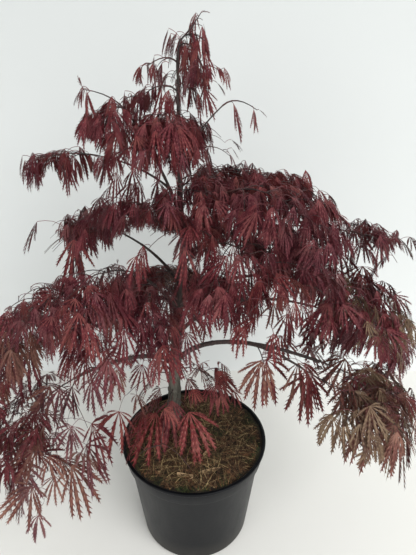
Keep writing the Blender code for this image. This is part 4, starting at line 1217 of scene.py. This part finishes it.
# Some leaves stand singly, on stalks of their own straight off the trunk, a bough or the stem of
# a mass: at a height of the trunk, or a share of the way along the bough or the stem.
SPUR_DROOP = 0.55
Spur = namedtuple("Spur", "carrier at bearing climb stalk hang length open tint")
SPURS = (
    # off the low bough on the right
    ("bough_right_low", 0.72, -70, -38, 0.026, 78, 0.104, 0.95, "burgundy"),
    ("bough_right_low", 0.86, -60, -20, 0.026, 70, 0.098, 0.80, "russet"),
    ("bough_right_low", 0.95, -100, -30, 0.030, 66, 0.100, 0.85, "burgundy"),
    ("bough_right_low", 0.90, 40, 10, 0.030, 50, 0.090, 0.85, "plum"),
    ("bough_right_low", 0.80, 70, 20, 0.030, 60, 0.086, 0.80, "burgundy"),
    ("bough_right_low_fork", 0.50, -110, -20, 0.026, 76, 0.092, 0.75, "russet"),
    ("bough_right_low_fork", 0.80, -30, 0, 0.030, 62, 0.096, 0.85, "burgundy"),
    ("bough_right_low_far", 0.26, -90, -40, 0.012, 78, 0.050, 0.60, "garnet"),
    ("bough_right_low_far", 0.84, -90, -40, 0.026, 70, 0.070, 0.70, "burgundy"),
    ("bough_right_low_far", 0.97, -70, -40, 0.028, 66, 0.074, 0.70, "plum"),
    ("bough_right_low_far", 1.00, -100, -50, 0.018, 76, 0.070, 0.70, "garnet"),
    ("bough_right_low_far", 0.90, -50, 0, 0.016, 64, 0.058, 0.75, "plum"),
    ("bough_right_low_far", 0.78, -120, 0, 0.016, 60, 0.056, 0.75, "russet"),
    ("right_low_far", 0.10, -110, -50, 0.030, 72, 0.080, 0.75, "burgundy"),
    ("right_low_front", 0.50, -92, -60, 0.030, 76, 0.100, 0.85, "bronze"),
    ("right_low_front", 0.74, -70, -60, 0.034, 78, 0.100, 0.85, "russet"),
    ("right_low_front", 1.00, -40, -60, 0.044, 78, 0.096, 0.80, "bronze"),
    ("right_low", 1.00, -10, -42, 0.058, 82, 0.104, 0.90, "russet"),
    ("right_mid", 1.00, -10, 44, 0.050, 62, 0.054, 0.70, "russet"),
    ("right_mid", 0.30, 110, 60, 0.045, 50, 0.076, 0.85, "russet"),
    ("right_mid", 0.46, 50, 62, 0.050, 50, 0.080, 0.85, "garnet"),
    ("right_mid", 0.62, -150, 62, 0.050, 48, 0.080, 0.85, "plum"),
    ("right_mid", 0.80, 80, 64, 0.055, 46, 0.080, 0.85, "burgundy"),
    ("bough_right_low", 0.94, 60, 60, 0.044, 36, 0.078, 0.80, "garnet"),
    ("right_low", 0.16, 110, 62, 0.042, 40, 0.078, 0.80, "burgundy"),
    ("right_low", 0.40, -150, 66, 0.040, 44, 0.080, 0.80, "russet"),
    ("right_low", 0.96, 20, -64, 0.050, 80, 0.104, 0.90, "bronze"),
    ("right_low_front", 1.00, 4, -40, 0.052, 82, 0.104, 0.90, "garnet"),
    ("right_low_front", 1.00, -8, -60, 0.076, 84, 0.104, 0.85, "russet"),
    ("right_low_far", 1.00, 8, 50, 0.048, 52, 0.070, 0.75, "burgundy"),
    ("right_low", 0.98, -64, -50, 0.040, 82, 0.104, 0.80, "bronze"),
    # off the trunk, before it, between the tiers
    ("trunk", 0.540, -78, 30, 0.034, 56, 0.062, 0.75, "garnet"),
    ("trunk", 0.512, -120, 30, 0.040, 60, 0.064, 0.80, "mauve"),
    ("trunk", 0.486, -70, 30, 0.040, 58, 0.070, 0.80, "burgundy"),
    ("trunk", 0.454, -104, 34, 0.044, 60, 0.072, 0.80, "garnet"),
    ("trunk", 0.432, -64, 30, 0.044, 62, 0.074, 0.80, "mauve"),
    ("trunk", 0.410, -100, 30, 0.044, 64, 0.076, 0.80, "burgundy"),
    ("trunk", 0.620, -96, 30, 0.030, 60, 0.058, 0.70, "mauve"),
    # off the low stems on the left
    ("bough_left_low", 0.34, -120, -30, 0.018, 60, 0.064, 0.80, "garnet"),
    ("bough_left_low", 0.48, 120, -20, 0.022, 54, 0.068, 0.80, "mauve"),
    ("bough_left_low", 0.60, -110, -30, 0.020, 58, 0.066, 0.80, "russet"),
    ("bough_left_low", 0.72, 130, -30, 0.022, 56, 0.068, 0.80, "garnet"),
    ("bough_left_low", 0.84, -90, -30, 0.020, 62, 0.068, 0.85, "mauve"),
    ("bough_left_low", 0.96, -120, -30, 0.022, 60, 0.070, 0.85, "garnet"),
    ("left_low", 0.14, -90, 20, 0.024, 52, 0.074, 0.80, "mauve"),
    ("left_low", 0.24, 150, 50, 0.034, 50, 0.066, 0.80, "garnet"),
    ("left_low_front", 0.74, -6, 2, 0.056, 60, 0.104, 0.90, "garnet"),
    ("left_low_front", 0.84, -16, 4, 0.060, 64, 0.104, 1.00, "mauve"),
    ("left_low_front", 0.92, -34, 10, 0.054, 62, 0.100, 0.85, "russet"),
    ("left_low", 0.34, 100, 60, 0.036, 40, 0.070, 0.80, "mauve"),
    ("left_low", 0.50, -170, 60, 0.036, 46, 0.070, 0.80, "garnet"),
    ("left_low", 1.00, -170, -66, 0.046, 78, 0.098, 0.85, "russet"),
    ("left_low", 0.96, -80, -60, 0.044, 76, 0.098, 0.85, "mauve"),
    ("left_low", 1.00, -130, -76, 0.070, 82, 0.104, 0.95, "garnet"),
    ("left_low_front", 1.00, 176, -30, 0.044, 72, 0.100, 0.90, "mauve"),
    ("left_low", 1.00, -160, -72, 0.076, 82, 0.104, 0.85, "russet"),
    # off the thin boughs on the left
    ("bough_left_twig", 0.10, -100, -40, 0.016, 72, 0.050, 0.55, "garnet"),
    ("bough_left_twig", 0.24, 80, -30, 0.018, 64, 0.052, 0.60, "plum"),
    ("bough_left_twig", 0.38, -130, -40, 0.018, 70, 0.054, 0.65, "mauve"),
    ("bough_left_twig", 0.54, 110, -30, 0.018, 60, 0.050, 0.55, "garnet"),
    ("bough_left_twig", 0.70, -120, -40, 0.020, 70, 0.054, 0.65, "burgundy"),
    ("bough_left_twig", 0.88, 120, -30, 0.018, 66, 0.052, 0.60, "mauve"),
    ("left_twig", 0.50, -100, -50, 0.018, 80, 0.054, 0.55, "garnet"),
    ("centre_left", 0.50, 60, 60, 0.026, 40, 0.050, 0.70, "mauve"),
    ("centre_left", 0.66, -150, 60, 0.030, 46, 0.054, 0.70, "garnet"),
    ("centre_left", 0.84, 120, 60, 0.030, 40, 0.054, 0.70, "plum"),
    ("centre_left", 1.00, 170, 50, 0.030, 46, 0.056, 0.70, "mauve"),
    ("bough_left_thin", 0.80, 150, 60, 0.028, 44, 0.054, 0.70, "plum"),
    ("left_thin", 0.30, 120, 60, 0.026, 50, 0.054, 0.65, "garnet"),
    ("left_thin", 0.62, -140, -40, 0.032, 82, 0.090, 0.50, "plum"),
    ("left_thin", 0.80, -90, -40, 0.032, 84, 0.094, 0.55, "burgundy"),
    ("left_thin", 1.00, 176, 14, 0.046, 56, 0.066, 0.45, "garnet"),
    # off the trunk's foot, over the compost
    ("trunk", 0.276, -60, 14, 0.066, 34, 0.118, 0.66, "crimson"),
    ("trunk", 0.272, -122, 12, 0.058, 34, 0.114, 0.66, "crimson"),
    ("trunk", 0.290, -92, 20, 0.040, 46, 0.110, 0.60, "wine"),
    ("trunk", 0.300, -160, 20, 0.030, 56, 0.080, 0.80, "burgundy"),
    ("foot_left", 1.00, -112, -26, 0.036, 58, 0.098, 0.95, "crimson"),
    ("trunk", 0.306, 4, 36, 0.064, 58, 0.100, 0.90, "crimson"),
    ("trunk", 0.318, -20, 30, 0.032, 66, 0.074, 0.80, "burgundy"),
    ("trunk", 0.312, 40, 30, 0.056, 44, 0.088, 0.90, "burgundy"),
    ("trunk", 0.304, 168, 24, 0.044, 48, 0.092, 0.85, "russet"),
    # off the twig that stands out on the right
    ("right_twig", 0.22, -30, -10, 0.008, 70, 0.062, 0.30, "burgundy"),
    ("right_twig", 0.86, -60, -30, 0.008, 80, 0.036, 0.20, "wine"),
    ("right_twig", 1.00, -10, 20, 0.003, 30, 0.020, 0.24, "burgundy"),
    # off the tips of stems on the dome and low down
    ("right_back", 0.98, -60, 74, 0.044, 66, 0.058, 0.50, "burgundy"),
    ("right_far", 1.00, 10, 20, 0.020, 40, 0.060, 0.45, "russet"),
    # off the tips and the stems at the top
    ("crest", 1.00, 60, 40, 0.002, -30, 0.013, 0.35, "wine"),
    ("crest", 0.98, -40, 20, 0.004, -10, 0.018, 0.45, "burgundy"),
    ("crest", 0.90, -170, -20, 0.006, 76, 0.040, 0.20, "wine"),
    ("crest", 0.80, 0, -10, 0.008, 78, 0.052, 0.22, "burgundy"),
    ("trunk", 0.910, 178, 40, 0.020, 66, 0.040, 0.42, "burgundy"),
    ("trunk", 0.908, -150, 30, 0.016, 74, 0.036, 0.35, "wine"),
    ("tip_right", 0.30, -90, -20, 0.006, 80, 0.044, 0.30, "burgundy"),
    ("tip_right", 0.56, -60, -20, 0.006, 82, 0.044, 0.30, "plum"),
    ("tip_right", 0.70, 60, -20, 0.006, 80, 0.042, 0.30, "wine"),
    ("tip_back", 0.94, -40, -30, 0.012, 80, 0.046, 0.35, "burgundy"),
    ("high_left", 1.00, 170, 70, 0.003, -75, 0.026, 0.28, "wine"),
    ("high_left", 0.96, -60, -20, 0.006, 80, 0.040, 0.20, "burgundy"),
    ("high_left", 0.84, -150, -20, 0.008, 78, 0.048, 0.25, "wine"),
    ("bough_left_high", 0.80, -160, -20, 0.010, 76, 0.056, 0.35, "wine"),
)


def spur_leaf(spur):
    """A leaf that stands singly."""
    if spur.carrier == "trunk":
        foot = trunk_at(spur.at)[0]
    elif spur.carrier in BOUGHS:
        foot = along(bough_points(spur.carrier), spur.at)
    else:
        foot = along(twigs["foliage_" + spur.carrier][0].points, spur.at)
    base = foot + heading(spur.bearing, spur.climb) * spur.stalk
    out, up = heading(spur.bearing, -spur.hang), heading(spur.bearing, 90 - spur.hang)
    breadth = at_height(foot, LEAF_BREADTHS)
    return Leaf(foot, base, out, up, spur.length, SPUR_DROOP, spur.open, breadth, spur.tint)


leaves = [spur_leaf(Spur(*values)) for values in SPURS]
leafy_twigs = []
for name, mass in MASSES.items():
    for twig in twigs[name]:
        if twig.radius != FORK_RADIUS:  # a side twig and its forks are one spray
            spray_tint = rngs[name].choice(mass.tints)
        grown = grow_leaves(mass, spaces[name], twig, spray_tint, rngs[name])
        if grown or twig.radius == STEM_RADIUS:
            leafy_twigs.append(twig)
        leaves += grown
shape_rng = np.random.default_rng(LEAF_SEED)
for tint_name, tint in TINTS.items():
    dealt = [leaf for leaf in leaves if leaf.tint == tint_name]
    blades = leaf_mesh("leaves_" + tint_name, Lobes(dealt, shape_rng))
    add_piece("leaves_" + tint_name, blades, leaf_blade("leaf_" + tint_name, tint))

# The shoots that carry the leaves: smooth young bark, slightly glossy, blushed wine-red in patches.

twig_routes = np.array([spread(twig.points) for twig in leafy_twigs])
twig_taper = np.linspace(1, TIP_SHARE, TWIG_STEPS + 1)
twig_radii = np.array([twig.radius for twig in leafy_twigs])[:, None] * twig_taper
shoots = add_piece(
    "shoots",
    tubes_mesh("shoots", twig_routes, twig_radii, TWIG_SIDES),
    mottled("young_shoot_bark", "#1b1211", "#42221f", 0.030, 0.5),
)
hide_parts(*MASSES)

# Stalks: thin wine-red petioles that rise off the twig and arch over to the base of the blade.

STALK_RADIUS = 0.00045
STALK_STEPS = 4
STALK_SIDES = 3


def stalk_route(leaf):
    """The way of a leaf's stalk, which rises first and then bends over to the blade."""
    rise = (Vector((0, 0, 1)) + (leaf.base - leaf.foot).normalized()).normalized()
    return spread(arch(leaf.foot, rise, leaf.base, STALK_STEPS))


stalk_routes = np.array([stalk_route(leaf) for leaf in leaves])
stalk_radii = np.full(stalk_routes.shape[:2], STALK_RADIUS)
add_piece(
    "leaf_stalks",
    tubes_mesh("leaf_stalks", stalk_routes, stalk_radii, STALK_SIDES),
    # Smooth and slightly glossy, mottled from dark to paler wine-red in patches.
    mottled("leaf_stalk", "#3c181d", "#6e2f35", 0.040, 0.45),
)

# ---- floor, wall, light and camera --------------------------------------------------------
# A white floor and a pale wall close behind, lit softly and evenly from above and the front.

WALL_DISTANCE = 0.50
WALL_COLOUR = "#d8dbda"
WALL_TOP_PAINTED_SHADE = "#bcbfbe"
WALL_TOP = 1.1
STAGE_SIZE = 12.0
SKY_STRENGTH = 0.74
CAMERA_LENS = 29.19  # mm, for the next one
CAMERA_SENSOR = 36
CAMERA_PITCH = 24.8  # downwards


def paint(name, colour):
    """Matt emulsion: even and without shine."""
    return new_material(name, {"Base Color": linear(colour), "Roughness": 0.85})


def wall_paint():
    """Matt emulsion with painted shade that greys it a little towards the top, shown from the front
    alone.
    """
    material, tree, shader = paint("wall", WALL_COLOUR)
    place = add_node(tree, "TexCoord").outputs["Object"]
    # Painted shade: the wall is darkened towards its top, where less light comes back off the
    # floor.
    height = add_node(tree, "SeparateXYZ", links={"Vector": place}).outputs["Z"]
    rise = add_node(tree, "MapRange", {"From Max": WALL_TOP}, {"Value": height})
    ends = {"Color1": linear(WALL_COLOUR), "Color2": linear(WALL_TOP_PAINTED_SHADE)}
    wire(shader, {"Base Color": add_node(tree, "MixRGB", ends, {"Fac": rise})})
    behind = add_node(tree, "NewGeometry").outputs["Backfacing"]
    clear = add_node(tree, "BsdfTransparent")
    mix = add_node(tree, "MixShader", links={"Fac": behind, 1: shader, 2: clear})
    wire(tree.nodes["Material Output"], {"Surface": mix})
    return material


def stage_plane(name, matrix, material):
    """A flat square of the stage."""
    bm = bmesh.new()
    bmesh.ops.create_grid(bm, x_segments=1, y_segments=1, size=STAGE_SIZE / 2, matrix=matrix)
    mesh = bpy.data.meshes.new(name)
    bm.to_mesh(mesh)
    bm.free()
    mesh.materials.append(material)
    plane = bpy.data.objects.new(name, mesh)
    bpy.context.scene.collection.objects.link(plane)


stage_plane("floor", Matrix.Identity(4), paint("floor", "#e2e1dc")[0])
upright = Matrix.Translation((0, WALL_DISTANCE, 0)) @ Matrix.Rotation(math.pi / 2, 4, "X")
stage_plane("wall", upright, wall_paint())

world = bpy.data.worlds.new("studio")
world.use_nodes = True
world.node_tree.nodes["Background"].inputs["Color"].default_value = linear("#f3f5f6")
world.node_tree.nodes["Background"].inputs["Strength"].default_value = SKY_STRENGTH
bpy.context.scene.world = world


def area_light(name, place, target, size, power):
    """A square soft box that faces its target."""
    light = bpy.data.lights.new(name, "AREA")
    light.size = size
    light.energy = power
    lamp = bpy.data.objects.new(name, light)
    lamp.location = place
    lamp.rotation_euler = (Vector(target) - Vector(place)).to_track_quat("-Z", "Y").to_euler()
    bpy.context.scene.collection.objects.link(lamp)


area_light("key", (2.2, -2.6, 2.7), (0, 0, 0.3), 2.8, 138)
area_light("fill_right", (1.0, -2.2, 0.8), (0.1, 0, 0.35), 2.0, 16)
area_light("fill_left", (-1.5, -2.2, 0.8), (-0.3, 0.5, 0.4), 2.0, 24)

camera_data = bpy.data.cameras.new("camera")
camera_data.lens = CAMERA_LENS
camera_data.sensor_width = CAMERA_SENSOR
camera = bpy.data.objects.new("camera", camera_data)
camera.location = EYE
camera.rotation_euler = (math.radians(90 - CAMERA_PITCH), 0, 0)
bpy.context.scene.collection.objects.link(camera)
bpy.context.scene.camera = camera
bpy.context.scene.view_settings.view_transform = "Standard"
